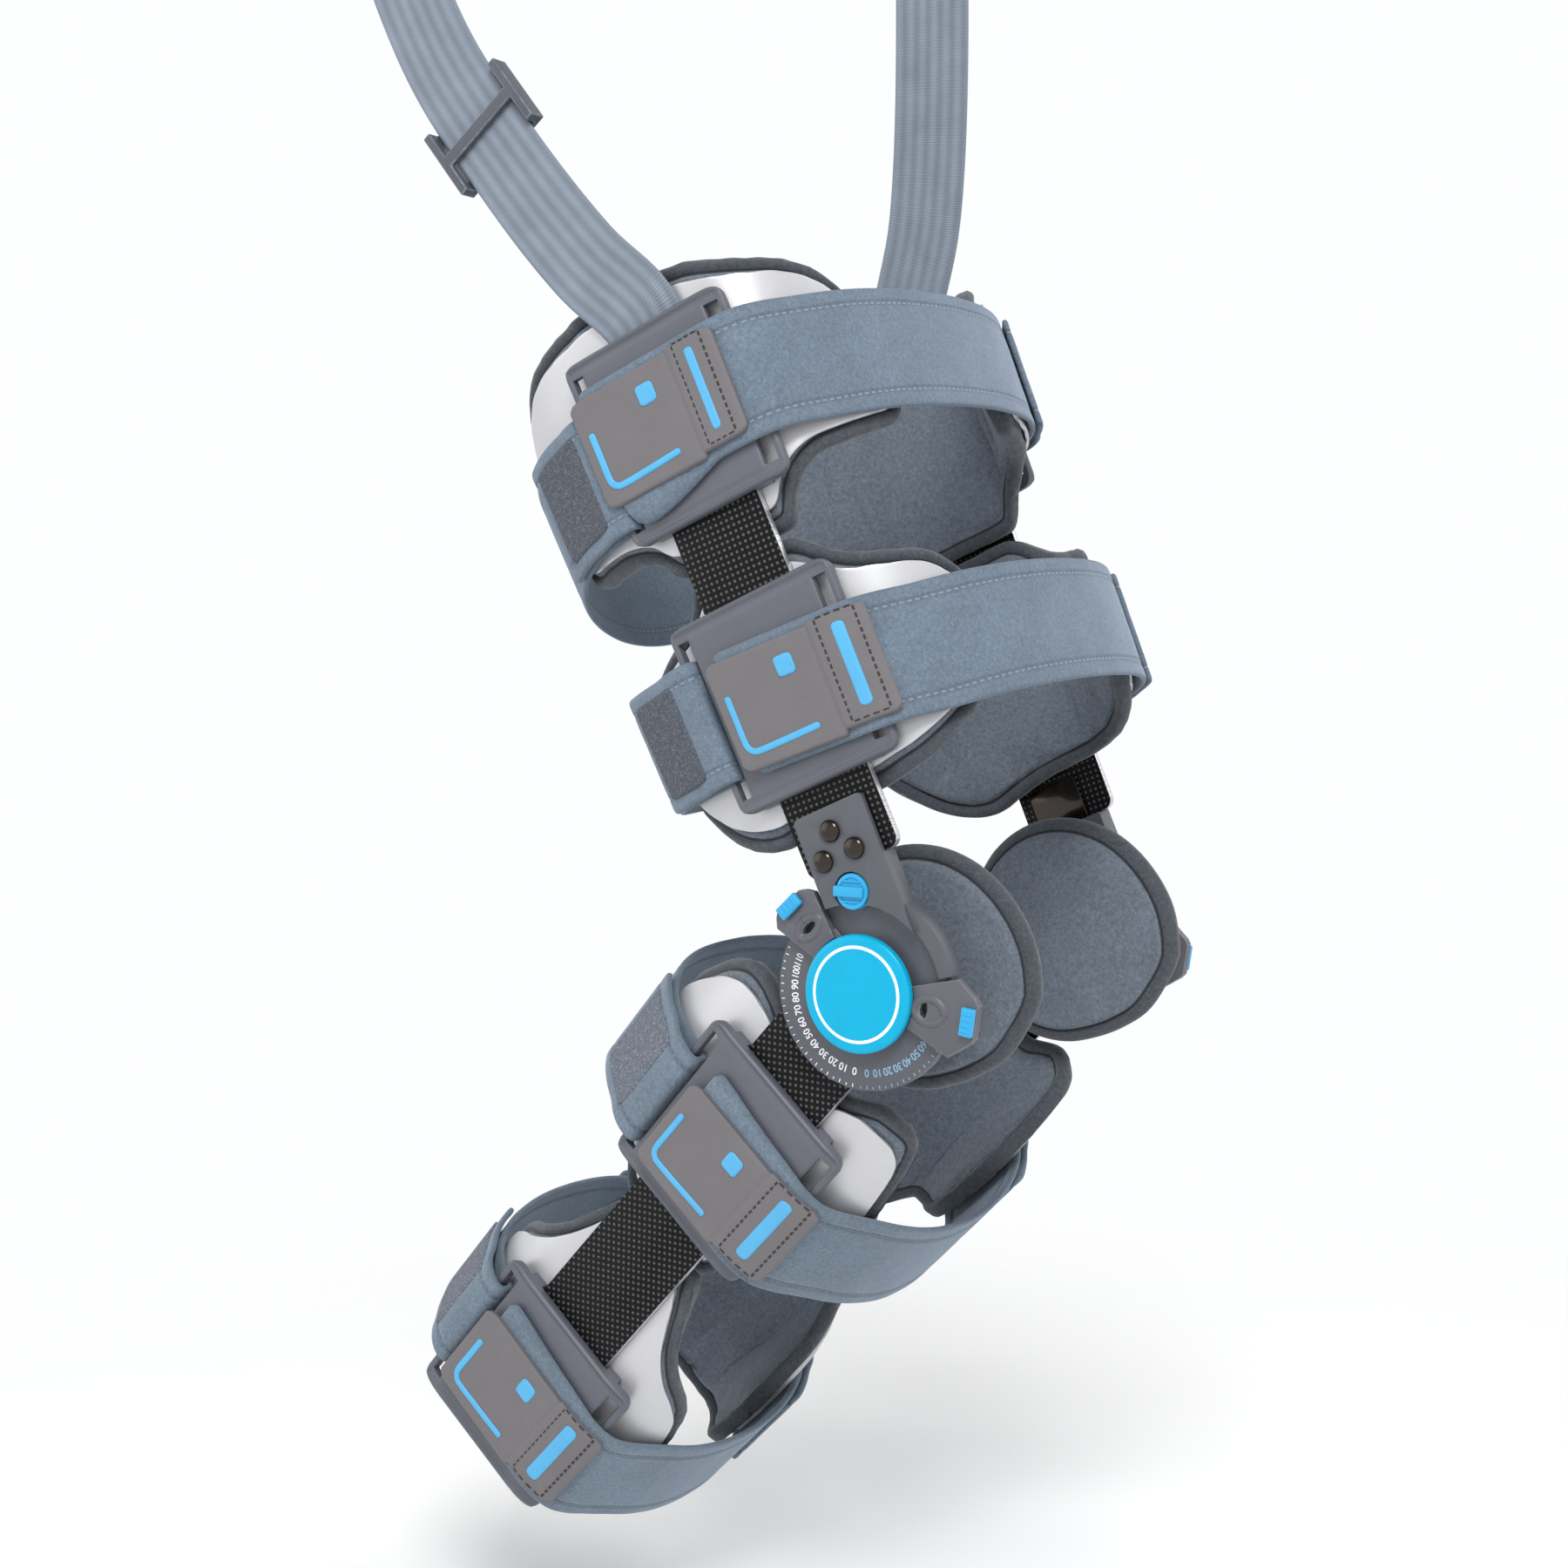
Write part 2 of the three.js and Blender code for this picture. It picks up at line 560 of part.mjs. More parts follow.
// One row for each cuff. station is the plate's middle, counted from the hinge. frontReach and
// rearReach are the leg's half depths. rise and fall are counted up and down from the plate's
// middle, and front and rear are how far the pad goes round the leg from the bar's middle line.
// strapUp and rearUp are the heights of the two straps' middles, tilt is the slope of the front
// strap over the plate, and the sags are how much lower a strap lies at the middle of its way.
const CUFFS = [
  { name: 'cuff_1', bar: THIGH_BAR, away: 1, station: 212.4, frontReach: 64, rearReach: 101,
    rise: 54.5, fall: 51.5, front: 98, rear: 96, table: THIGH_TOP, tabBack: -34,
    strapUp: 1.5, rearUp: -6, tilt: 0, frontSag: 0, rearSag: 18 },
  { name: 'cuff_2', bar: THIGH_BAR, away: 1, station: 108.9, frontReach: 72, rearReach: 92,
    rise: 49, fall: 51, front: 90, rear: 82, table: THIGH_LOW, tabBack: -23,
    strapUp: -3, rearUp: 0, tilt: -0.06, frontSag: 0, rearSag: -8 },
  { name: 'cuff_3', bar: CALF_BAR, away: -1, station: 89.5, frontReach: 62, rearReach: 77,
    rise: 57.5, fall: 50, front: 64, rear: 80, table: CALF_TOP, tabBack: -24,
    strapUp: -6, rearUp: -5, tilt: 0, frontSag: 6, rearSag: 4 },
  { name: 'cuff_4', bar: CALF_BAR, away: -1, station: 231, frontReach: 57, rearReach: 61,
    rise: 90.6, fall: 33, front: 70, rear: 68, table: CALF_LOW, tabBack: -27,
    strapUp: -4, rearUp: 0, tilt: -0.03, frontSag: 4, rearSag: 0 },
];

// A cuff's surface: place(round, up, height) gives the point at a length round the leg, a height
// up the cuff from its middle, and a height outwards from its shell's outer face.
class Cuff {
  constructor(row) {
    Object.assign(this, row);
    const half = barInner(this.bar, this.station) - CLEAR;
    this.section = new Section({ half, front: this.frontReach, rear: this.rearReach });
    this.splay = this.bar.splay * this.away;
  }

  place(round, up, height) {
    const { x, out, normalX, normalOut } = this.section.at(round);
    const growth = 1 + this.splay * up / this.section.half;
    return [this.bar.offset + growth * x + height * normalX,
      -(growth * out + height * normalOut), this.away * this.station + up];
  }

  // The rows of an edge table as lengths, from the rear to the front, less a margin
  edges(margin) {
    const side = (rows, reach, way) => rows.map(({ at, up, down }) => ({
      round: way * at * (reach - margin),
      high: up * (this.rise - margin),
      low: -down * (this.fall - margin),
    }));
    return [...side(this.table.rear, this.rear, -1).reverse().slice(0, -1),
      ...side(this.table.front, this.front, 1)];
  }
}

const BAR_TOP = CLEAR + BAR_THICK;
const PLATE_BACK = BAR_TOP + CLEAR;
const PLATE_FACE = PLATE_BACK + PLATE.thick;
const SLOT_TO = SLOT.from + SLOT.width;

function plate(cuff) {
  const channel = BAR_WIDTH / 2 + 2 * CLEAR;
  const wing = [
    { round: channel, high: PLATE.high, back: PLATE_BACK },
    { round: channel + 0.2, high: PLATE.high, back: CLEAR },
    { round: channel + LEG_FOOT, high: PLATE.high, back: CLEAR },
    { round: channel + LEG_FOOT + 0.2, high: PLATE.high, back: PLATE_BACK },
    { round: PLATE.half - PLATE.corner, high: PLATE.high, back: PLATE_BACK },
    { round: PLATE.half - PLATE.corner * 0.3, high: PLATE.high - PLATE.corner * 0.3,
      back: PLATE_BACK },
    { round: PLATE.half, high: PLATE.high - PLATE.corner, back: PLATE_BACK },
  ];
  const rows = [...[...wing].reverse().map((row) => ({ ...row, round: -row.round })), ...wing];
  const grid = (height) => rows.map((row) => [-row.high, row.high].map(
    (up) => cuff.place(row.round, up, height(row))));
  const body = slab(grid(() => PLATE_FACE), grid((row) => row.back));
  const tools = [-1, 1].map((way) => {
    const reach = PLATE.high - SLOT.end;
    const hole = (height) => [SLOT.from, SLOT_TO].map((round) => [-reach, reach].map(
      (up) => cuff.place(way * round, up, height)));
    return slab(hole(PLATE_FACE + 2), hole(PLATE_BACK - 2));
  });
  return cut(body, ...tools);
}

function shell(cuff) {
  const rows = cuff.edges(SHELL_INSET);
  const grid = (height) => rows.map(({ round, high, low }) => [low, high].map(
    (up) => cuff.place(round, up, height)));
  return slab(grid(0), grid(-SHELL_THICK));
}

function pad(cuff) {
  const face = -SHELL_THICK - PAD_GAP;
  const rows = cuff.edges(0);
  const grid = (middle, edge) => rows.map(({ round, high, low }) => [
    cuff.place(round, low, edge), cuff.place(round, low + PAD_EDGE, middle),
    cuff.place(round, high - PAD_EDGE, middle), cuff.place(round, high, edge)]);
  return slab(grid(face, face - PAD_THICK * PAD_ROUND.outer),
    grid(face - PAD_THICK, face - PAD_THICK * PAD_ROUND.inner));
}

// A band along a path of [round, height] pairs on a cuff. The path is the band's middle, and
// middle gives the band's height up the cuff at each length round the leg.
function band(cuff, path, middle) {
  const edge = (way) => {
    const line = path.map(([round, height]) =>
      cuff.place(round, middle(round) + way * STRAP_WIDTH / 2, height));
    return line.map((here, i) => {
      const before = line[Math.max(i - 1, 0)];
      const after = line[Math.min(i + 1, line.length - 1)];
      const way = (from, to) => new THREE.Vector2(to[0] - from[0], to[1] - from[1]).normalize();
      const first = i > 0 ? way(before, here) : way(here, after);
      const last = i + 1 < line.length ? way(here, after) : first;
      const along = first.clone().add(last).normalize();
      const half = STRAP_THICK / 2 / Math.max(along.dot(first), 0.5);
      const off = [-along.y * half, along.x * half];
      return [[here[0] + off[0], here[1] + off[1], here[2]],
        [here[0] - off[0], here[1] - off[1], here[2]]];
    });
  };
  const low = edge(-1);
  const high = edge(1);
  const grid = (face) => low.map((pair, i) => [pair[face], high[i][face]]);
  return slab(grid(0), grid(1));
}

// The fold of a strap's end: under the slot's outer bar, up through the slot, round the bar and
// back over itself. Pairs run from the strap's side of the bar to the free end.
const STRAP_LEVEL = STRAP_LOFT + STRAP_THICK / 2;
const STRAP_LEFT = 2 * CLEAR + STRAP_THICK / 2;
const STRAP_ON_PLATE = PLATE_FACE + PLATE.rim + CLEAR + STRAP_THICK / 2;
function fold(reach) {
  const inside = SLOT_TO - STRAP_LEFT;
  const top = STRAP_ON_PLATE;
  const rest = STRAP_LEVEL + STRAP_BOW + STRAP_THICK + 3 * CLEAR;
  const free = steps(PLATE.half + 13, reach, 3).slice(1).map((round) => [round, rest]);
  return [[PLATE.half + 5, STRAP_LEVEL], [SLOT_TO + 1.2, STRAP_LEVEL],
    [inside + 0.9, STRAP_LEVEL + 0.4], [inside, PLATE_BACK - 0.2],
    [inside, PLATE_FACE + PLATE.rim], [inside + 0.9, top - 0.5], [SLOT_TO + 1.2, top],
    [PLATE.half + 2, top], [PLATE.half + 7, (2 * top + rest) / 3],
    [PLATE.half + 13, rest + 0.3], ...free];
}

const steps = (from, to, count) =>
  Array.from({ length: count + 1 }, (_, i) => from + (to - from) * i / count);

// A smooth bump: 0 at both ends of a strap's way round the leg and 1 at its middle
function bump(round, from, to) {
  const share = (round - from) / (to - from);
  return share <= 0 || share >= 1 ? 0 : Math.sin(Math.PI * share) ** 2;
}

// The rear strap runs from a fold at one plate's rear slot to a fold at the other plate's.
function rearStrap(cuff) {
  const ending = fold(PLATE.half + REAR_FREE);
  const far = 2 * cuff.section.rearLength;
  const first = ending.map(([round, height]) => [-round, height]).reverse();
  const last = ending.map(([round, height]) => [round - far, height]);
  const from = -(PLATE.half + 5);
  const around = steps(from, -far - from, 13).slice(1, -1)
    .map((round) => [round, STRAP_LEVEL + STRAP_BOW]);
  const middle = (round) => cuff.rearUp - cuff.rearSag * bump(round, from, -far - from);
  return band(cuff, [...first, ...around, ...last], middle);
}

// The front strap lies on the outer plate under its tab, goes round the front and ends in a fold
// at the inner plate's front slot.
function frontMiddle(cuff, round) {
  const far = 2 * cuff.section.frontLength;
  const near = PLATE.half + 20;
  const slope = cuff.tilt * Math.max(Math.min(round, near), cuff.tabBack);
  return cuff.strapUp + slope - cuff.frontSag * bump(round, near, far - PLATE.half);
}

function frontStrap(cuff) {
  const ending = fold(PLATE.half + FRONT_FREE);
  const far = 2 * cuff.section.frontLength;
  const last = ending.map(([round, height]) => [far - round, height]);
  const start = [[cuff.tabBack + STRAP_UNDER_TAB, STRAP_ON_PLATE], [0, STRAP_ON_PLATE],
    [SPINE_HALF, STRAP_ON_PLATE], [PLATE.half + 1, STRAP_ON_PLATE], [PLATE.half + 8, 6.4],
    [PLATE.half + 16, 3.8], [PLATE.half + 26, STRAP_LEVEL + STRAP_BOW]];
  const around = steps(PLATE.half + 26, far - PLATE.half - 5, 11).slice(1, -1)
    .map((round) => [round, STRAP_LEVEL + STRAP_BOW]);
  return band(cuff, [...start, ...around, ...last], (round) => frontMiddle(cuff, round));
}

function tab(cuff) {
  const back = STRAP_ON_PLATE + STRAP_THICK / 2 + CLEAR;
  const half = TAB.width / 2;
  const { step } = TAB;
  const from = cuff.tabBack;
  const to = from + TAB.length;
  const notch = to - TAB.strip;
  const low = -half - step / 2;
  const high = half - step / 2;
  const rows = [
    { round: from, low: low + 4, high: high - 4 },
    { round: from + 1.5, low: low + 1, high: high - 1 },
    { round: from + 5, low, high },
    { round: 0, low, high },
    { round: notch - 0.6, low, high },
    { round: notch, low: low + step, high: high + step / 2 },
    ...steps(SPINE_HALF, to - 3, 3).map((round) => (
      { round, low: low + step, high: high + step / 2 })),
    { round: to, low: low + step + 3, high: high - 2 },
  ].sort((a, b) => a.round - b.round);
  const grid = (height) => rows.map((row) => [row.low, row.high].map(
    (up) => cuff.place(row.round, up + frontMiddle(cuff, row.round), height)));
  return slab(grid(back + TAB.thick), grid(back));
}

// Webbing: route points chosen by hand, in the standing frame
const WEB_ROUTE = [
  [-112, -99, 257], [-148, -96, 294], [-187, -92, 343], [-222, -88, 425], [-236, -84, 520],
  [-228, -76, 610], [-205, -56, 690], [-172, -20, 738], [-145, 20, 738], [-116, 58, 690],
  [-94, 80, 610], [-80, 92, 500], [-76, 96, 378], [-80, 99, 290],
];
const WEB_SHIFT = 1;

function webRoute() {
  const lean = radians(THIGH_LEAN);
  const base = (along, side, shift) => {
    const across = THIGH_BAR.offset + shift;
    const out = barInner(THIGH_BAR, along) + BAR_THICK / 2;
    return new THREE.Vector3(across * Math.cos(lean) - along * Math.sin(lean), side * out,
      across * Math.sin(lean) + along * Math.cos(lean));
  };
  const foot = THIGH_BAR.end + 1.2;
  const rim = CUFFS[0].station + PLATE.high + 5;
  const points = [base(foot, -1, WEB_SHIFT), base(rim, -1, WEB_SHIFT),
    ...WEB_ROUTE.map((point) => new THREE.Vector3(...point)),
    base(rim, 1, WEB_SHIFT), base(foot, 1, WEB_SHIFT)];
  return new THREE.CatmullRomCurve3(points, false, 'centripetal');
}

// The place and the two cross directions of the webbing at a share of its route
function webFrame(route, share) {
  const centre = route.getPointAt(share);
  const along = route.getTangentAt(share);
  const lean = radians(THIGH_LEAN);
  const front = new THREE.Vector3(Math.cos(lean), 0, Math.sin(lean));
  const across = front.clone().addScaledVector(along, -front.dot(along)).normalize();
  const face = new THREE.Vector3().crossVectors(along, across).normalize();
  return { centre, along, across, face };
}

function webbing(route) {
  const count = 40;
  const grid = (side) => steps(0, 1, count).map((share) => {
    const { centre, across, face } = webFrame(route, share);
    return [-1, 1].map((way) => centre.clone().addScaledVector(across, way * WEB_WIDTH / 2)
      .addScaledVector(face, side * WEB_THICK / 2).toArray());
  });
  return slab(grid(1), grid(-1));
}

// The slide buckle: two end bars in front of the webbing, a middle bar behind it, and two rails
function slider(route) {
  const { centre, along, across, face } = webFrame(route, SLIDER.share);
  const near = WEB_THICK / 2 + 2 * CLEAR;
  const far = near + SLIDER.thick;
  const half = SLIDER.length / 2;
  const wide = SLIDER.width / 2;
  const block = (a0, b0, c0, a1, b1, c1) => remap(
    new THREE.BoxGeometry(a1 - a0, b1 - b0, c1 - c0),
    (x, y, z) => centre.clone().addScaledVector(across, x + (a0 + a1) / 2)
      .addScaledVector(along, y + (b0 + b1) / 2)
      .addScaledVector(face, z + (c0 + c1) / 2).toArray());
  const inside = WEB_WIDTH / 2 + 1;
  return join(
    block(-wide, -half, near, wide, -half + SLIDER.bar, far),
    block(-wide, half - SLIDER.bar, near, wide, half, far),
    block(-wide, -SLIDER.bar / 2, -far, wide, SLIDER.bar / 2, -near),
    block(-wide, -half, -far, -inside, half, far),
    block(inside, -half, -far, wide, half, far));
}

// Assembly
function mesh(name, geometry, material) {
  const made = new THREE.Mesh(geometry, material);
  made.name = name;
  return made;
}

// Adds a piece made for the outer side, and its mirror image for the inner side.
function addPair(group, name, geometry, material) {
  group.add(mesh(`${name}_outer`, geometry, material));
  group.add(mesh(`${name}_inner`, mirror(geometry), material));
}

const brace = new THREE.Group();
const thigh = new THREE.Group();
thigh.rotation.y = radians(-THIGH_LEAN);
const calf = new THREE.Group();
calf.rotation.y = radians(KNEE_BEND - THIGH_LEAN);
brace.add(thigh, calf);

addPair(thigh, 'upper_bar', thighBar(), LOOK.bar);
addPair(thigh, 'hinge_housing', housing(), LOOK.housing);
addPair(thigh, 'lock_knob', knob(), LOOK.blue);
addPair(thigh, 'rivets', rivets(), LOOK.rivet);
addPair(calf, 'lower_bar', calfBar(), LOOK.bar);
addPair(brace, 'hinge_cap', cap(), LOOK.cap);
addPair(brace, 'knee_pad', kneePad(), LOOK.pad);

for (const row of LEVERS) {
  const turnedBy = new THREE.Group();
  turnedBy.rotation.y = radians(-row.middle);
  addPair(turnedBy, `${row.name}_stop_lever`, lever(row, row.window), LOOK.lever);
  addPair(turnedBy, `${row.name}_stop_button`, button(row.button), LOOK.blue);
  brace.add(turnedBy);
}

for (const row of CUFFS) {
  const cuff = new Cuff(row);
  const half = cuff.bar === THIGH_BAR ? thigh : calf;
  addPair(half, `${cuff.name}_plate`, plate(cuff), LOOK.plate);
  addPair(half, `${cuff.name}_shell`, shell(cuff), LOOK.shell);
  addPair(half, `${cuff.name}_pad`, pad(cuff), LOOK.pad);
  half.add(mesh(`${cuff.name}_front_strap`, frontStrap(cuff), LOOK.strap));
  half.add(mesh(`${cuff.name}_rear_strap`, rearStrap(cuff), LOOK.strap));
  half.add(mesh(`${cuff.name}_tab`, tab(cuff), LOOK.tab));
}

const route = webRoute();
brace.add(mesh('suspension_strap', webbing(route), LOOK.web));
brace.add(mesh('strap_slider', slider(route), LOOK.housing));

export default brace;
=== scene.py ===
"""The looks of a hinged knee immobilizer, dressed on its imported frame.

Sizes are in millimetres until a piece is finished, when it goes to metres in the frame's own
axes: +X is the front of the leg, -Y its outer side and +Z up, and the origin is the middle of
the knee's axis. Each soft or moulded piece is drawn flat, given its thickness and edges, and
then bent round the leg by the cuff that carries it.
"""

import sys

import bisect
import logging
import math
from dataclasses import dataclass
from enum import Enum
from typing import Callable, Sequence

import bmesh
import bpy
from mathutils import Matrix, Vector, kdtree, noise


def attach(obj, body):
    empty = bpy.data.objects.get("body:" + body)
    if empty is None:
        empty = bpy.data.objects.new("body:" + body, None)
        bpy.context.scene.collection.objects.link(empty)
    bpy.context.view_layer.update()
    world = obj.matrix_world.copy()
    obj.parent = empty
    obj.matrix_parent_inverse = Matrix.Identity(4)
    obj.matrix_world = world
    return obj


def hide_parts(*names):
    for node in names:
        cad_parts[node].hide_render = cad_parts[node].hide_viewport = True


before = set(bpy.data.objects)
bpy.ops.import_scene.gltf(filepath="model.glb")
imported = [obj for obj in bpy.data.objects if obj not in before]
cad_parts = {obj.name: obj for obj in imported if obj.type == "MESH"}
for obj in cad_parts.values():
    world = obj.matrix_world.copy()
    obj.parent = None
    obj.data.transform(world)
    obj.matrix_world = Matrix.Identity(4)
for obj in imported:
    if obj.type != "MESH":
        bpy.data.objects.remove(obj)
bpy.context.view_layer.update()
LOG = logging.getLogger("brace")

MM = 0.001
CLEAR = 0.3
Point = tuple[float, float, float]
Colour = tuple[float, float, float]
Table = list[tuple[float, float]]


class Side(Enum):
    """The two sides of the leg, with the sign of Y on each."""

    OUTER = -1
    INNER = 1

    @property
    def word(self) -> str:
        """The side's word in the names of the nodes."""
        return self.name.lower()


# Shader maths


class Value:
    """A number socket that adds Math nodes where it is used in an expression."""

    def __init__(self, paint: "Paint", socket: bpy.types.NodeSocket) -> None:
        """Wraps a socket of a material that is being made.

        Args:
            paint: the material's maker.
            socket: an output that carries one number.
        """
        self.paint = paint
        self.socket = socket

    def maths(self, operation: str, *operands: "Value | float") -> "Value":
        """Adds a Math node.

        Args:
            operation: the node's operation.
            operands: what goes into its sockets, in order.

        Returns:
            The node's result.
        """
        made = self.paint.node("ShaderNodeMath", {"operation": operation},
                               dict(enumerate(operands)))
        return Value(self.paint, made.outputs[0])

    def __add__(self, other: "Value | float") -> "Value":
        """self + other."""
        return self.maths("ADD", self, other)

    __radd__ = __add__

    def __sub__(self, other: "Value | float") -> "Value":
        """self - other."""
        return self.maths("SUBTRACT", self, other)

    def __rsub__(self, other: "Value | float") -> "Value":
        """other - self."""
        return self.maths("SUBTRACT", other, self)

    def __mul__(self, other: "Value | float") -> "Value":
        """self * other."""
        return self.maths("MULTIPLY", self, other)

    __rmul__ = __mul__

    def __abs__(self) -> "Value":
        """The size of self without its sign."""
        return self.maths("ABSOLUTE", self)

    def sine(self) -> "Value":
        """The sine of self in radians."""
        return self.maths("SINE", self)

    def root(self) -> "Value":
        """The square root of self."""
        return self.maths("SQRT", self)

    def wave(self, period: float) -> "Value":
        """A wave from -1 to 1 with the given period in self's unit."""
        return (self * (2 * math.pi / period)).sine()

    def ramp(self, low: float, high: float) -> "Value":
        """A smooth step from 0 at low to 1 at high."""
        made = self.paint.node("ShaderNodeMapRange", {"interpolation_type": "SMOOTHSTEP"},
                               {0: self, 1: low, 2: high, 3: 0.0, 4: 1.0})
        return Value(self.paint, made.outputs[0])

    def band(self, middle: float, half: float, soft: float) -> "Value":
        """1 within half of middle, falling smoothly to 0 over soft."""
        return 1 - abs(self - middle).ramp(half, half + soft)


class Paint:
    """Makes one material's nodes."""

    def __init__(self, name: str, **constants: float | Sequence[float]) -> None:
        """Starts a material with one shader.

        Args:
            name: the material's name.
            constants: values of the shader's sockets that are the same all over, by the
                sockets' names with underscores.
        """
        self.material = bpy.data.materials.new(name)
        self.material.use_nodes = True
        self.tree = self.material.node_tree
        self.shader = self.tree.nodes["Principled BSDF"]
        for key, value in constants.items():
            self.shader.inputs[key.replace("_", " ")].default_value = value

    def node(self, kind: str, settings: dict | None = None, inputs: dict | None = None
             ) -> bpy.types.Node:
        """Adds a node.

        Args:
            kind: the node's type.
            settings: its own settings.
            inputs: values or links, by socket name or number.

        Returns:
            The node.
        """
        made = self.tree.nodes.new(kind)
        for key, value in (settings or {}).items():
            setattr(made, key, value)
        for key, value in (inputs or {}).items():
            self.feed(made.inputs[key], value)
        return made

    def feed(self, socket: bpy.types.NodeSocket,
             value: "Value | Colour | bpy.types.NodeSocket | float") -> None:
        """Links or writes what a socket reads.

        Args:
            socket: the socket.
            value: a link's start, or a constant.
        """
        if isinstance(value, Value):
            self.tree.links.new(value.socket, socket)
        elif isinstance(value, bpy.types.NodeSocket):
            self.tree.links.new(value, socket)
        elif isinstance(value, tuple) and len(value) == 3 and socket.type == "RGBA":
            socket.default_value = (*value, 1)
        else:
            socket.default_value = value

    def place(self, turn: float = 0.0) -> bpy.types.NodeSocket:
        """The point on the piece in millimetres, turned about Y.

        Args:
            turn: degrees that the piece's own axes are turned by.

        Returns:
            A vector socket.
        """
        here = self.node("ShaderNodeTexCoord").outputs["Object"]
        turned = self.node("ShaderNodeVectorRotate", {"rotation_type": "Y_AXIS"},
                           {"Vector": here, "Angle": math.radians(turn)})
        grown = self.node("ShaderNodeVectorMath", {"operation": "SCALE"},
                          {0: turned.outputs[0], "Scale": 1 / MM})
        return grown.outputs[0]

    def flat(self, layer: str = "flat") -> bpy.types.NodeSocket:
        """The point on the flat pattern of a piece, in millimetres.

        Args:
            layer: the map that holds it.

        Returns:
            A vector socket.
        """
        made = self.node("ShaderNodeUVMap", {"uv_map": layer})
        grown = self.node("ShaderNodeVectorMath", {"operation": "SCALE"},
                          {0: made.outputs[0], "Scale": 1 / MM})
        return grown.outputs[0]

    def split(self, vector: bpy.types.NodeSocket) -> tuple[Value, Value, Value]:
        """The three numbers of a vector."""
        made = self.node("ShaderNodeSeparateXYZ", None, {0: vector})
        return tuple(Value(self, out) for out in made.outputs)

    def speckle(self, vector: bpy.types.NodeSocket, size: float, detail: float = 2.0) -> Value:
        """Noise from 0 to 1 with grains of the given size in the vector's unit."""
        made = self.node("ShaderNodeTexNoise", None,
                         {"Vector": vector, "Scale": 1 / size, "Detail": detail,
                          "Roughness": 0.6})
        return Value(self, made.outputs[0])

    def cells(self, vector: bpy.types.NodeSocket, size: float) -> Value:
        """Distance to the nearest of scattered points, as a share of their spacing."""
        made = self.node("ShaderNodeTexVoronoi", None, {"Vector": vector, "Scale": 1 / size})
        return Value(self, made.outputs["Distance"])

    def mix(self, share: Value | float, first: "Colour | bpy.types.NodeSocket",
            second: "Colour | bpy.types.NodeSocket") -> bpy.types.NodeSocket:
        """A colour between two, with share as the part of the second."""
        made = self.node("ShaderNodeMix", {"data_type": "RGBA"},
                         {0: share, 6: first, 7: second})
        return made.outputs[2]

    def tint(self, colour: "Colour | bpy.types.NodeSocket", by: Value, amount: float
             ) -> bpy.types.NodeSocket:
        """A colour made lighter and darker by a number from 0 to 1.

        Args:
            colour: the middle colour.
            by: what varies it.
            amount: how far it goes to either side, as a share.

        Returns:
            A colour socket.
        """
        factor = by * (2 * amount) + (1 - amount)
        made = self.node("ShaderNodeVectorMath", {"operation": "SCALE"},
                         {0: self.mix(0.0, colour, colour), "Scale": factor})
        return made.outputs[0]

    def finish(self, colour: "Colour | bpy.types.NodeSocket", roughness: Value | float,
               relief: Value | None = None, depth: float = 0.1) -> bpy.types.Material:
        """Links what varies to the shader.

        Args:
            colour: the base colour.
            roughness: the roughness.
            relief: the height from 0 to 1, or None for a smooth surface.
            depth: how deep the relief is, in millimetres.

        Returns:
            The material.
        """
        sockets = self.shader.inputs
        self.feed(sockets["Base Color"], colour)
        self.feed(sockets["Roughness"], roughness)
        if relief is not None:
            bump = self.node("ShaderNodeBump", None,
                             {"Strength": 1.0, "Distance": depth * MM, "Height": relief})
            self.tree.links.new(bump.outputs[0], sockets["Normal"])
        return self.material


# Finishes


@dataclass(frozen=True)
class Moulding:
    """Satin moulded plastic with a fine grain, paler along its rounded edges: partly rubbed wear,
    partly a painted highlight.
    """

    name: str
    colour: Colour
    roughness: float = 0.42
    grain: float = 0.05
    wear: float = 1.0

    def make(self) -> bpy.types.Material:
        """Makes the material.

        Returns:
            The material.
        """
        paint = Paint(self.name, Specular_IOR_Level=0.5)
        place = paint.place()
        bevel_band, _, _ = paint.split(paint.flat("edge"))
        cloud = paint.speckle(place, 14.0)
        grain = paint.speckle(place, 0.45, 3.0)
        patch_noise = paint.speckle(place, 3.0, 4.0)
        colour = paint.tint(paint.tint(self.colour, cloud, 0.1), grain, 0.07)
        # The rounded edges are painted paler, broken up by noise: partly rubbed wear, partly a
        # painted highlight where the bevels catch the light.
        wear_and_highlight = bevel_band * (0.25 + 0.6 * patch_noise.ramp(0.35, 0.7))
        colour = paint.mix(wear_and_highlight * self.wear, colour,
                           tuple(0.06 + 1.7 * part for part in self.colour))
        rough = self.roughness + 0.14 * cloud - 0.06 * grain - 0.1 * wear_and_highlight
        return paint.finish(colour, rough, grain, self.grain)


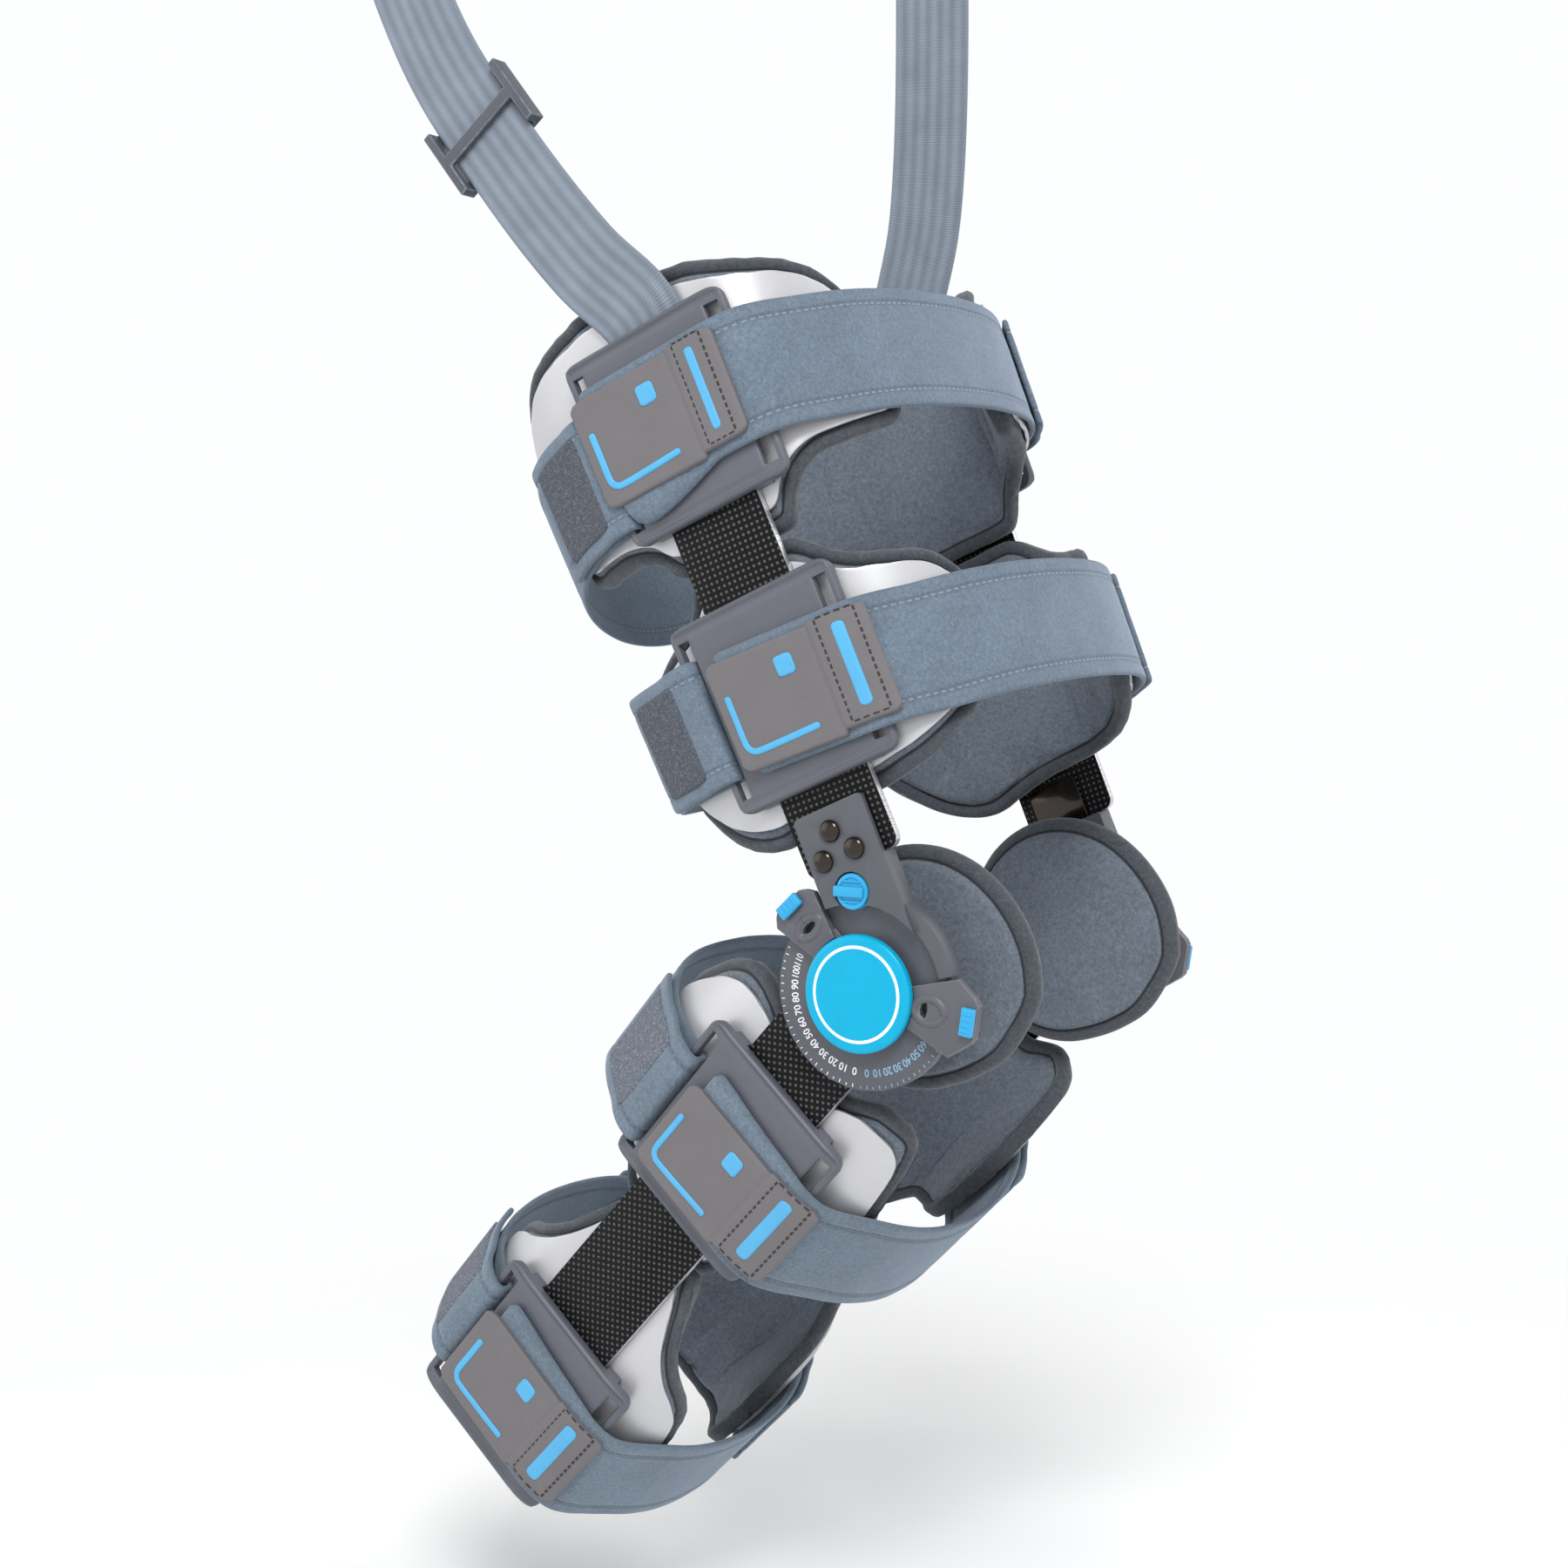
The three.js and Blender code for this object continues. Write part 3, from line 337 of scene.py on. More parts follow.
@dataclass(frozen=True)
class BrushedLoop:
    """Blue-grey loop fabric of a strap, brushed, with a stitch line near each edge."""

    name: str
    colour: Colour
    stitch: Colour
    half: float
    inset: float = 6.2
    length: float = 3.2

    def make(self) -> bpy.types.Material:
        """Makes the material.

        Returns:
            The material.
        """
        paint = Paint(self.name, Sheen_Weight=0.35, Sheen_Roughness=0.45,
                      Sheen_Tint=(0.75, 0.85, 1.0, 1.0), Specular_IOR_Level=0.2)
        along, across, _ = paint.split(paint.flat())
        place = paint.place()
        fibre = paint.speckle(place, 0.6, 5.0)
        tuft = paint.speckle(place, 1.5, 3.0)
        cloud = paint.speckle(place, 20.0, 2.0)
        line = abs(across).band(self.half - self.inset, 0.25, 0.3)
        ditch = abs(across).band(self.half - self.inset, 0.5, 1.3)
        dash = (along.wave(self.length) + 0.35).ramp(0.0, 0.3)
        edge = abs(across).ramp(self.half - 1.6, self.half - 0.2)
        colour = paint.tint(paint.tint(self.colour, fibre, 0.5), tuft, 0.42)
        colour = paint.tint(colour, cloud, 0.2)
        colour = paint.mix(edge * 0.3, colour, tuple(0.5 * part for part in self.colour))
        # Painted shade: the colour darkens in the stitched groove along each stitch line.
        colour = paint.mix(ditch * 0.3, colour, tuple(0.5 * part for part in self.colour))
        colour = paint.mix(line * dash * 0.45, colour, self.stitch)
        relief = fibre * 0.4 + tuft * 0.5 - ditch * 0.9 + line * dash * 0.5
        return paint.finish(colour, 0.92 - 0.1 * fibre, relief, 0.4)


@dataclass(frozen=True)
class PadKnit:
    """Knitted cover of a pad, with a darker bound edge and a seam inside it."""

    name: str
    colour: Colour
    binding: Colour
    seam: float

    def make(self) -> bpy.types.Material:
        """Makes the material.

        Returns:
            The material.
        """
        paint = Paint(self.name, Sheen_Weight=0.25, Sheen_Roughness=0.5, Specular_IOR_Level=0.2)
        place = paint.place()
        inside, _, _ = paint.split(paint.flat("edge"))
        fibre = paint.speckle(place, 0.7, 5.0)
        tuft = paint.speckle(place, 1.7, 4.0)
        cloud = paint.speckle(place, 18.0)
        bound = 1 - inside.ramp(self.seam - 0.4, self.seam + 0.1)
        thread = inside.band(self.seam, 0.35, 0.35)
        colour = paint.mix(bound, self.colour, self.binding)
        colour = paint.tint(paint.tint(paint.tint(colour, fibre, 0.6), tuft, 0.55), cloud, 0.15)
        colour = paint.mix(thread * 0.85, colour, tuple(0.2 * part for part in self.binding))
        relief = fibre * 0.5 + tuft * 0.5
        return paint.finish(colour, 0.94 - 0.1 * fibre, relief, 0.5)


@dataclass(frozen=True)
class HookPatch:
    """Rough hook tape at the end of a strap, sewn down round its edge."""

    name: str
    colour: Colour

    def make(self) -> bpy.types.Material:
        """Makes the material.

        Returns:
            The material.
        """
        paint = Paint(self.name, Specular_IOR_Level=0.35)
        flat = paint.flat()
        hooks = paint.cells(flat, 1.3)
        cloud = paint.speckle(flat, 2.4, 4.0)
        point = 1 - hooks.ramp(0.1, 0.55)
        colour = paint.tint(paint.mix(point * 0.7, self.colour,
                                      tuple(2.6 * part for part in self.colour)), cloud, 0.5)
        return paint.finish(colour, 0.6 + 0.3 * hooks, point, 0.5)


@dataclass(frozen=True)
class RibbedWebbing:
    """Elastic webbing with ribs along it and fine picks across."""

    name: str
    colour: Colour
    ribs: float

    def make(self) -> bpy.types.Material:
        """Makes the material.

        Returns:
            The material.
        """
        paint = Paint(self.name, Sheen_Weight=0.3, Sheen_Roughness=0.4, Specular_IOR_Level=0.3)
        flat = paint.flat()
        along, across, _ = paint.split(flat)
        rib = across.wave(self.ribs) * 0.5 + 0.5
        pick = along.wave(0.9) * 0.5 + 0.5
        fibre = paint.speckle(flat, 0.5, 4.0)
        cloud = paint.speckle(flat, 16.0)
        colour = paint.tint(paint.tint(paint.tint(self.colour, rib, 0.13), pick, 0.12), fibre, 0.3)
        colour = paint.tint(colour, cloud, 0.2)
        relief = rib * 0.5 + pick * 0.25 + fibre * 0.25
        return paint.finish(colour, 0.7 + 0.15 * fibre, relief, 0.35)


@dataclass(frozen=True)
class WovenPrintBar:
    """Black bar with a fine print of small lozenges on its faces and bright bare edges."""

    name: str
    colour: Colour
    dot: Colour
    edge: Colour
    turn: float
    spacing: float = 3.3

    def make(self) -> bpy.types.Material:
        """Makes the material.

        Returns:
            The material.
        """
        paint = Paint(self.name, Specular_IOR_Level=0.12)
        place = paint.place(self.turn)
        across, _, along = paint.split(place)
        _, out, _ = paint.split(paint.node("ShaderNodeNewGeometry").outputs["Normal"])
        lozenge = (across.wave(self.spacing) * along.wave(self.spacing)).ramp(0.3, 0.75)
        grain = paint.speckle(place, 0.5, 3.0)
        cloud = paint.speckle(place, 12.0)
        face = abs(out).ramp(0.75, 0.92)
        colour = paint.mix(lozenge * 0.9, self.colour, self.dot)
        colour = paint.mix(1 - face, paint.tint(colour, cloud, 0.25), self.edge)
        paint.tree.links.new((0.85 * (1 - face)).socket, paint.shader.inputs["Metallic"])
        return paint.finish(colour, 0.34 + 0.12 * grain, lozenge * 0.8 + grain * 0.2, 0.12)


@dataclass(frozen=True)
class SatinMetal:
    """Pale or dark satin metal with faint brushing."""

    name: str
    colour: Colour
    roughness: float
    metal: float
    streak: float = 0.06
    coat: float = 0.0

    def make(self) -> bpy.types.Material:
        """Makes the material.

        Returns:
            The material.
        """
        paint = Paint(self.name, Metallic=self.metal, Coat_Weight=self.coat, Coat_Roughness=0.06)
        place = paint.place()
        stretched = paint.node("ShaderNodeVectorMath", {"operation": "MULTIPLY"},
                               {0: place, 1: (1.0, 1.0, 0.06)}).outputs[0]
        streak = paint.speckle(stretched, 0.5, 3.0)
        cloud = paint.speckle(place, 20.0)
        colour = paint.tint(paint.tint(self.colour, streak, self.streak), cloud, 0.04)
        return paint.finish(colour, self.roughness + 0.1 * streak, streak, 0.015)


@dataclass(frozen=True)
class PrintedCap:
    """Gloss blue cap with a printed white ring."""

    name: str
    colour: Colour
    ring: Colour
    radius: float
    width: float

    def make(self) -> bpy.types.Material:
        """Makes the material.

        Returns:
            The material.
        """
        paint = Paint(self.name, Coat_Roughness=0.12, Specular_IOR_Level=0.25)
        place = paint.place()
        across, _, along = paint.split(place)
        reach = (across * across + along * along).root()
        cloud = paint.speckle(place, 9.0)
        grain = paint.speckle(place, 0.4)
        colour = paint.tint(self.colour, cloud, 0.08)
        colour = paint.mix(reach.band(self.radius, self.width / 2, 0.12), colour, self.ring)
        return paint.finish(colour, 0.24 + 0.1 * grain, grain, 0.02)


class Look:
    """All the finishes of the brace, made once."""

    def __init__(self) -> None:
        """Makes every material."""
        self.strap = BrushedLoop("strap loop fabric", (0.137, 0.178, 0.226), (0.33, 0.39, 0.46),
                                 23.0).make()
        self.calf_strap = BrushedLoop("calf strap loop fabric", (0.137, 0.178, 0.222),
                                      (0.05, 0.065, 0.085), 23.0).make()
        self.pad = PadKnit("pad knit", (0.128, 0.152, 0.186), (0.062, 0.071, 0.084), 5.0).make()
        self.hook = HookPatch("hook tape", (0.075, 0.085, 0.105)).make()
        self.calf_hook = HookPatch("calf hook tape", (0.125, 0.14, 0.172)).make()
        self.webbing = RibbedWebbing("ribbed webbing", (0.185, 0.218, 0.266), 5.4).make()
        self.plate = Moulding("plate moulding", (0.1, 0.105, 0.128), 0.4).make()
        self.housing = Moulding("hinge moulding", (0.08, 0.086, 0.102), 0.4).make()
        self.lever = Moulding("lever moulding", (0.094, 0.096, 0.112), 0.4).make()
        self.slider = Moulding("buckle moulding", (0.062, 0.072, 0.09), 0.4).make()
        self.blue = Moulding("blue moulding", (0.02, 0.35, 0.64), 0.34, 0.03).make()
        self.tab = Moulding("tab rubber", (0.142, 0.134, 0.141), 0.6, 0.1).make()
        self.mark = Moulding("tab mark rubber", (0.075, 0.38, 0.66), 0.45, 0.04).make()
        self.thread = Moulding("dark thread", (0.035, 0.028, 0.028), 0.8, 0.05).make()
        self.shell = SatinMetal("shell metal", (0.57, 0.57, 0.59), 0.36, 0.45).make()
        self.rivet = SatinMetal("rivet metal", (0.035, 0.026, 0.02), 0.13, 0.9, 0.02, 0.5).make()
        self.cap = PrintedCap("cap print", (0.0, 0.37, 0.6), (0.8, 0.88, 0.95), 16.7,
                              1.0).make()
        self.white_print = Moulding("white print", (0.75, 0.76, 0.78), 0.5, 0.02).make()
        self.blue_print = Moulding("pale blue print", (0.22, 0.38, 0.52), 0.5, 0.02).make()
        self.bars = {half.name: WovenPrintBar(f"{half.name} bar print", (0.006, 0.006, 0.007),
                                              (0.1, 0.097, 0.095), (0.62, 0.62, 0.64),
                                              half.turn).make() for half in (THIGH, CALF)}


# Meshes in the making


class Form:
    """A mesh in the making, in millimetres, with a helper for each kind of step."""

    def __init__(self) -> None:
        """Starts an empty mesh."""
        self.mesh = bmesh.new()
        self.top = self.mesh.verts.layers.int.new("top")
        self.flat = self.mesh.loops.layers.uv.new("flat")
        self.edge = self.mesh.loops.layers.uv.new("edge")

    @classmethod
    def sheet(cls, across: Sequence[float], up: Sequence[float],
              keep: Callable[[float, float], bool] | None = None) -> "Form":
        """Makes a closed slab of no height from a grid, for shape() to place.

        Args:
            across: the stations of the grid's columns.
            up: the stations of its rows.
            keep: says for a face's middle whether it stays, or None for all of them.

        Returns:
            The form. Its upper layer has top set to 1.
        """
        form = cls()
        mesh = form.mesh
        bmesh.ops.create_grid(mesh, x_segments=len(across) - 1, y_segments=len(up) - 1, size=1)
        for vert in mesh.verts:
            column = round((vert.co.x + 1) / 2 * (len(across) - 1))
            row = round((vert.co.y + 1) / 2 * (len(up) - 1))
            vert.co = Vector((across[column], up[row], 0))
        if keep is not None:
            gone = [face for face in mesh.faces if not keep(*face.calc_center_median()[:2])]
            bmesh.ops.delete(mesh, geom=gone, context="FACES")
        made = bmesh.ops.extrude_face_region(mesh, geom=mesh.faces[:])
        for item in made["geom"]:
            if isinstance(item, bmesh.types.BMVert):
                item[form.top] = 1
        return form

    def shape(self, move: Callable[[float, float, bool], Point]) -> "Form":
        """Moves every point of a sheet, and keeps its flat place as the map "flat".

        Args:
            move: gives the place of a grid point on the lower or the upper layer.

        Returns:
            The form.
        """
        for vert in self.mesh.verts:
            flat = vert.co.copy()
            vert.co = Vector(move(flat.x, flat.y, bool(vert[self.top])))
        for face in self.mesh.faces:
            for loop in face.loops:
                loop[self.flat].uv = (loop.vert.co.x * MM, loop.vert.co.y * MM)
        return self

    def edge_map(self, outline: Sequence[Vector]) -> "Form":
        """Writes the distance from an outline as the map "edge".

        Args:
            outline: points along the outline, in the flat pattern.

        Returns:
            The form.
        """
        tree = near_tree(outline)
        for face in self.mesh.faces:
            for loop in face.loops:
                here = Vector((loop.vert.co.x, loop.vert.co.y, 0))
                loop[self.edge].uv = (tree.find(here)[2] * MM, 0)
        return self

    def hold(self, held: Callable[[bmesh.types.BMVert], bool]) -> "Form":
        """Marks the points that stay in place when the piece is stuffed.

        Args:
            held: says for a point whether it is held.

        Returns:
            The form.
        """
        layer = self.mesh.verts.layers.deform.verify()
        for vert in self.mesh.verts:
            vert[layer][0] = 1.0 if held(vert) else 0.0
        return self

    def lathe(self, profile: Sequence[tuple[float, float]], steps: int,
              centre: tuple[float, float] = (0, 0)) -> "Form":
        """Adds a turned piece about an axis along Y.

        Args:
            profile: pairs of radius and distance outwards.
            steps: how many steps the turn takes.
            centre: the axis's place on X and Z.

        Returns:
            The form.
        """
        before = set(self.mesh.verts)
        verts = [self.mesh.verts.new((radius, -out, 0)) for radius, out in profile]
        edges = [self.mesh.edges.new(pair) for pair in zip(verts, verts[1:])]
        bmesh.ops.spin(self.mesh, geom=verts + edges, cent=(0, 0, 0), axis=(0, 1, 0),
                       dvec=(0, 0, 0), angle=2 * math.pi, steps=steps, use_merge=True)
        turned = [vert for vert in self.mesh.verts if vert not in before]
        poles = [vert for vert in turned if math.hypot(vert.co.x, vert.co.z) < 1e-4]
        bmesh.ops.remove_doubles(self.mesh, verts=poles, dist=1e-3)
        alive = [vert for vert in turned if vert.is_valid]
        bmesh.ops.translate(self.mesh, verts=alive, vec=(centre[0], 0, centre[1]))
        return self

    def block(self, low: Point, high: Point, soft: float) -> "Form":
        """Adds a box with rounded edges between two corners.

        Args:
            low: its lowest corner.
            high: its highest corner.
            soft: the rounding's width.

        Returns:
            The form.
        """
        made = bmesh.ops.create_cube(self.mesh, size=1)
        size = Vector(high) - Vector(low)
        bmesh.ops.scale(self.mesh, vec=size, verts=made["verts"])
        bmesh.ops.translate(self.mesh, vec=(Vector(low) + Vector(high)) / 2, verts=made["verts"])
        edges = {line for vert in made["verts"] for line in vert.link_edges}
        bmesh.ops.bevel(self.mesh, geom=list(edges), offset=soft, offset_type="OFFSET",
                        segments=3, profile=0.5, affect="EDGES", material=-1)
        return self

    def warp(self, move: Callable[[Vector], Vector]) -> "Form":
        """Moves every point by a function."""
        for vert in self.mesh.verts:
            vert.co = move(vert.co)
        return self

    def turn(self, matrix: Matrix) -> "Form":
        """Moves the whole form by a matrix."""
        bmesh.ops.transform(self.mesh, matrix=matrix, verts=self.mesh.verts[:])
        return self

    def add(self, other: "Form") -> "Form":
        """Takes another form's mesh in and frees that form.

        Args:
            other: the form that is taken in.

        Returns:
            The form.
        """
        spare = bpy.data.meshes.new("spare")
        other.mesh.to_mesh(spare)
        other.mesh.free()
        self.mesh.from_mesh(spare)
        bpy.data.meshes.remove(spare)
        return self

    def soften(self, width: float, angle: float = 30.0, segments: int = 2) -> "Form":
        """Rounds every edge that is sharper than an angle.

        Args:
            width: the rounding's width.
            angle: the least angle between two faces, in degrees.
            segments: how many steps the rounding takes.

        Returns:
            The form.
        """
        sharp = [line for line in self.mesh.edges if len(line.link_faces) == 2
                 and line.calc_face_angle(0) > math.radians(angle)]
        made = bmesh.ops.bevel(self.mesh, geom=sharp, offset=width, offset_type="OFFSET",
                               segments=segments, profile=0.5, affect="EDGES",
                               clamp_overlap=True, material=-1)
        layers = self.mesh.loops.layers.uv
        layer = layers.get("edge") or layers.new("edge")
        for face in made["faces"]:
            for loop in face.loops:
                loop[layer].uv = (MM, 0)
        return self

    def piece(self, name: str, finish: bpy.types.Material, body: str, slot: str,
              place: Matrix, replaces: Sequence[str] = (), sharp: float = 35.0
              ) -> bpy.types.Object:
        """Turns the form into a finished piece on a body, and frees the form.

        Args:
            name: the piece's name.
            finish: its material.
            body: the CAD body that it rides on.
            slot: the record's material slot; not used.
            place: the matrix from the form's millimetres to the frame's metres.
            replaces: the CAD nodes that it stands for.
            sharp: edges with a larger angle in degrees are shaded sharp.

        Returns:
            The piece's object.
        """
        bmesh.ops.transform(self.mesh, matrix=place, verts=self.mesh.verts[:])
        bmesh.ops.recalc_face_normals(self.mesh, faces=self.mesh.faces[:])
        for face in self.mesh.faces:
            face.smooth = True
        for line in self.mesh.edges:
            line.smooth = line.calc_face_angle(0) < math.radians(sharp)
        data = bpy.data.meshes.new(name)
        self.mesh.to_mesh(data)
        self.mesh.free()
        data.materials.append(finish)
        made = bpy.data.objects.new(name, data)
        bpy.context.scene.collection.objects.link(made)
        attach(made, body)
        if replaces:
            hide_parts(*replaces)
        LOG.info("%s: %d faces", name, len(data.polygons))
        return made


def near_tree(points: Sequence[Vector]) -> kdtree.KDTree:
    """A search tree over points.

    Args:
        points: the points.

    Returns:
        The tree.
    """
    tree = kdtree.KDTree(len(points))
    for index, point in enumerate(points):
        tree.insert(point, index)
    tree.balance()
    return tree


def copy_of(node: str) -> Form:
    """A merged copy of a CAD node, in millimetres.

    Args:
        node: the node's name.

    Returns:
        A form with its mesh.
    """
    form = Form()
    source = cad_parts[node].data
    form.mesh.from_mesh(source)
    bmesh.ops.scale(form.mesh, vec=(1 / MM,) * 3, verts=form.mesh.verts[:])
    bmesh.ops.remove_doubles(form.mesh, verts=form.mesh.verts[:], dist=1e-2)
    bmesh.ops.dissolve_limit(form.mesh, angle_limit=math.radians(1.5),
                             verts=form.mesh.verts[:], edges=form.mesh.edges[:])
    return form


def between(table: Sequence[tuple[float, float]], x: float) -> float:
    """A smooth curve through the points of a table.

    Args:
        table: pairs of place and value, with rising places.
        x: the place.

    Returns:
        The value there.
    """
    if x <= table[0][0]:
        return table[0][1]
    if x >= table[-1][0]:
        return table[-1][1]
    i = max(k for k in range(len(table) - 1) if table[k][0] <= x)

    def slope(k: int) -> float:
        """The curve's slope at a point of the table."""
        low, high = max(k - 1, 0), min(k + 1, len(table) - 1)
        return (table[high][1] - table[low][1]) / (table[high][0] - table[low][0])

    (x0, y0), (x1, y1) = table[i], table[i + 1]
    span = x1 - x0
    t = (x - x0) / span
    return ((2 * t ** 3 - 3 * t ** 2 + 1) * y0 + (t ** 3 - 2 * t ** 2 + t) * span * slope(i)
            + (3 * t ** 2 - 2 * t ** 3) * y1 + (t ** 3 - t ** 2) * span * slope(i + 1))


def spread(start: float, end: float, step: float) -> list[float]:
    """Even stations from start to end, about a step apart."""
    count = max(1, round(abs(end - start) / step))
    return [start + (end - start) * i / count for i in range(count + 1)]


def merged(*groups: Sequence[float]) -> list[float]:
    """The stations of several lists in order, each once.

    Args:
        groups: lists of stations.

    Returns:
        The stations, with close ones left out.
    """
    found: list[float] = []
    for value in sorted(value for group in groups for value in group):
        if not found or value - found[-1] > 0.02:
            found.append(value)
    return found


@dataclass(frozen=True)
class Stuffing:
    """Foam that swells a sewn cover, run as a cloth simulation that its seams hold."""

    pressure: float
    growth: float
    limit: float
    frames: int = 14

    def swell(self, piece: bpy.types.Object) -> None:
        """Swells a cover, and writes the result into its mesh.

        Args:
            piece: the cover, from a form whose held points are marked.
        """
        piece.vertex_groups.new(name="held")
        cloth = piece.modifiers.new("swell", "CLOTH")
        settings = cloth.settings
        settings.quality = 4
        settings.mass = 0.15
        settings.tension_stiffness = settings.compression_stiffness = 12
        settings.shear_stiffness = 6
        settings.bending_stiffness = 0.2
        settings.use_pressure = True
        settings.uniform_pressure_force = self.pressure
        settings.shrink_min = -self.growth
        settings.vertex_group_mass = "held"
        settings.effector_weights.gravity = 0
        cloth.point_cache.frame_start, cloth.point_cache.frame_end = 1, self.frames
        scene = bpy.context.scene
        for number in range(1, self.frames + 1):
            scene.frame_set(number)
        graph = bpy.context.evaluated_depsgraph_get()
        places = [vert.co.copy() for vert in piece.evaluated_get(graph).data.vertices]
        piece.modifiers.remove(cloth)
        scene.frame_set(1)
        most = self.limit * MM
        for vert, place in zip(piece.data.vertices, places):
            move = place - vert.co
            vert.co += move * min(1, most / max(move.length, 1e-9))
        piece.vertex_groups.clear()


# The brace's two halves and the surfaces of its cuffs


@dataclass(frozen=True)
class Half:
    """A half of the brace, above or below the knee, with its bar's line."""

    name: str
    body: str
    turn: float
    away: int
    offset: float
    level: float
    splay: float

    def place(self, side: Side = Side.OUTER) -> Matrix:
        """The matrix from the half's millimetres on one side to the frame's metres."""
        flip = Matrix.Diagonal((1, -side.value, 1, 1))
        return Matrix.Scale(MM, 4) @ Matrix.Rotation(math.radians(self.turn), 4, "Y") @ flip


THIGH = Half("thigh", "thigh_half", -24.3, 1, 15.6, 85.3, 0.045)
CALF = Half("calf", "calf_half", 42.7, -1, -1.5, 81.2, -0.0448)
WORLD = Half("knee", "thigh_half", 0.0, 1, 0.0, 0.0, 0.0)
SPINE_HALF = 22.5
ROUNDNESS = 2.2


class Girth:
    """The outline of a cuff round the leg: flat over the bar, then rounded to both sides."""

    def __init__(self, half: float, front: float, rear: float) -> None:
        """Works out the lengths round both corners.

        Args:
            half: the distance of the flat from the leg's middle plane.
            front: the reach to the front.
            rear: the reach to the rear.
        """
        self.half = half
        self.front = self.corner(front - SPINE_HALF)
        self.rear = self.corner(rear - SPINE_HALF)
        self.front_length = SPINE_HALF + self.front[-1][1]
        self.rear_length = SPINE_HALF + self.rear[-1][1]

    def point(self, reach: float, turn: float) -> tuple[float, float]:
        """A corner's point at a turn from 0 to a right angle."""
        power = 2 / ROUNDNESS
        return reach * math.sin(turn) ** power, self.half * max(math.cos(turn), 0) ** power

    def corner(self, reach: float) -> list[tuple[float, float, float]]:
        """A corner as rows of turn, length so far and reach.

        Args:
            reach: how far it goes past the flat.

        Returns:
            The rows, in steps of half a degree.
        """
        rows = [(0.0, 0.0, reach)]
        last = self.point(reach, 0)
        length = 0.0
        for i in range(1, 181):
            turn = i / 180 * math.pi / 2 * 0.999999
            here = self.point(reach, turn)
            length += math.hypot(here[0] - last[0], here[1] - last[1])
            rows.append((turn, length, reach))
            last = here
        return rows

    def at(self, length: float) -> tuple[float, float, float, float]:
        """The place and the outward direction at a length round the outline.

        Args:
            length: counted from the bar's middle line, positive to the front.

        Returns:
            The place on X, the distance outwards, and the direction's two parts.
        """
        for limit, way in ((self.front_length, 1), (self.rear_length, -1)):
            if way * length > limit:
                x, out, across, outward = self.at(2 * way * limit - length)
                return x, -out, across, -outward
        if abs(length) <= SPINE_HALF:
            return length, self.half, 0.0, 1.0
        way = 1 if length > 0 else -1
        rows = self.front if way > 0 else self.rear
        wanted = abs(length) - SPINE_HALF
        high = bisect.bisect_left(rows, wanted, 1, len(rows) - 1, key=lambda row: row[1])
        low = high - 1
        share = min((wanted - rows[low][1]) / (rows[high][1] - rows[low][1]), 1)
        turn = rows[low][0] + share * (rows[high][0] - rows[low][0])
        reach = rows[0][2]
        x, out = self.point(reach, turn)
        across = (x / reach) ** (ROUNDNESS - 1) / reach
        outward = (out / self.half) ** (ROUNDNESS - 1) / self.half
        size = math.hypot(across, outward)
        return way * (SPINE_HALF + x), out, way * across / size, outward / size


Rows = Sequence[tuple[float, float, float]]


@dataclass(frozen=True)
class Edges:
    """A cuff's edges: shares of the reach round the leg, of the rise and of the fall."""

    front: Rows
    rear: Rows


THIGH_TOP = Edges(
    ((0, 1, 1), (0.2, 0.95, 1), (0.26, 0.92, 0.96), (0.33, 0.88, 0.76), (0.46, 0.82, 0.6),
     (0.64, 0.75, 0.54), (0.8, 0.6, 0.5), (0.93, 0.3, 0.45), (1, -0.02, 0.3)),
    ((0, 1, 1), (0.2, 1, 1), (0.28, 0.99, 0.97), (0.36, 0.96, 0.82), (0.48, 0.92, 0.74),
     (0.64, 0.84, 0.72), (0.8, 0.67, 0.7), (0.93, 0.4, 0.55), (1, 0.08, 0.26)))
THIGH_LOW = Edges(
    ((0, 1, 0.9), (0.2, 1, 0.88), (0.27, 0.94, 0.87), (0.34, 0.84, 0.85), (0.46, 0.72, 0.81),
     (0.62, 0.65, 0.7), (0.79, 0.57, 0.53), (0.93, 0.34, 0.3), (1, 0.06, 0.06)),
    ((0, 1, 0.9), (0.2, 1, 0.96), (0.28, 0.97, 0.99), (0.36, 0.8, 1), (0.48, 0.69, 0.96),
     (0.63, 0.6, 0.84), (0.79, 0.5, 0.62), (0.93, 0.34, 0.36), (1, 0.08, 0.08)))
CALF_TOP = Edges(
    ((0, 0.86, 1), (0.28, 0.86, 1), (0.36, 0.92, 0.98), (0.44, 0.97, 0.82), (0.52, 1, 0.7),
     (0.66, 0.99, 0.64), (0.8, 0.94, 0.6), (0.92, 0.78, 0.5), (1, 0.5, 0.3)),
    ((0, 0.86, 1), (0.2, 0.9, 1), (0.3, 0.96, 0.98), (0.42, 0.99, 0.8), (0.54, 0.96, 0.68),
     (0.66, 0.84, 0.63), (0.78, 0.64, 0.6), (0.9, 0.42, 0.52), (1, 0.12, 0.3)))
CALF_LOW = Edges(
    ((0, 1, 1), (0.27, 1, 1), (0.33, 0.93, 1), (0.4, 0.82, 1), (0.5, 0.67, 1),
     (0.64, 0.54, 1), (0.8, 0.43, 0.98), (0.93, 0.3, 0.84), (1, 0.12, 0.5)),
    ((0, 1, 1), (0.27, 1, 1), (0.35, 0.85, 1), (0.43, 0.72, 1), (0.53, 0.6, 1),
     (0.66, 0.5, 1), (0.8, 0.42, 0.96), (0.93, 0.3, 0.8), (1, 0.12, 0.5)))


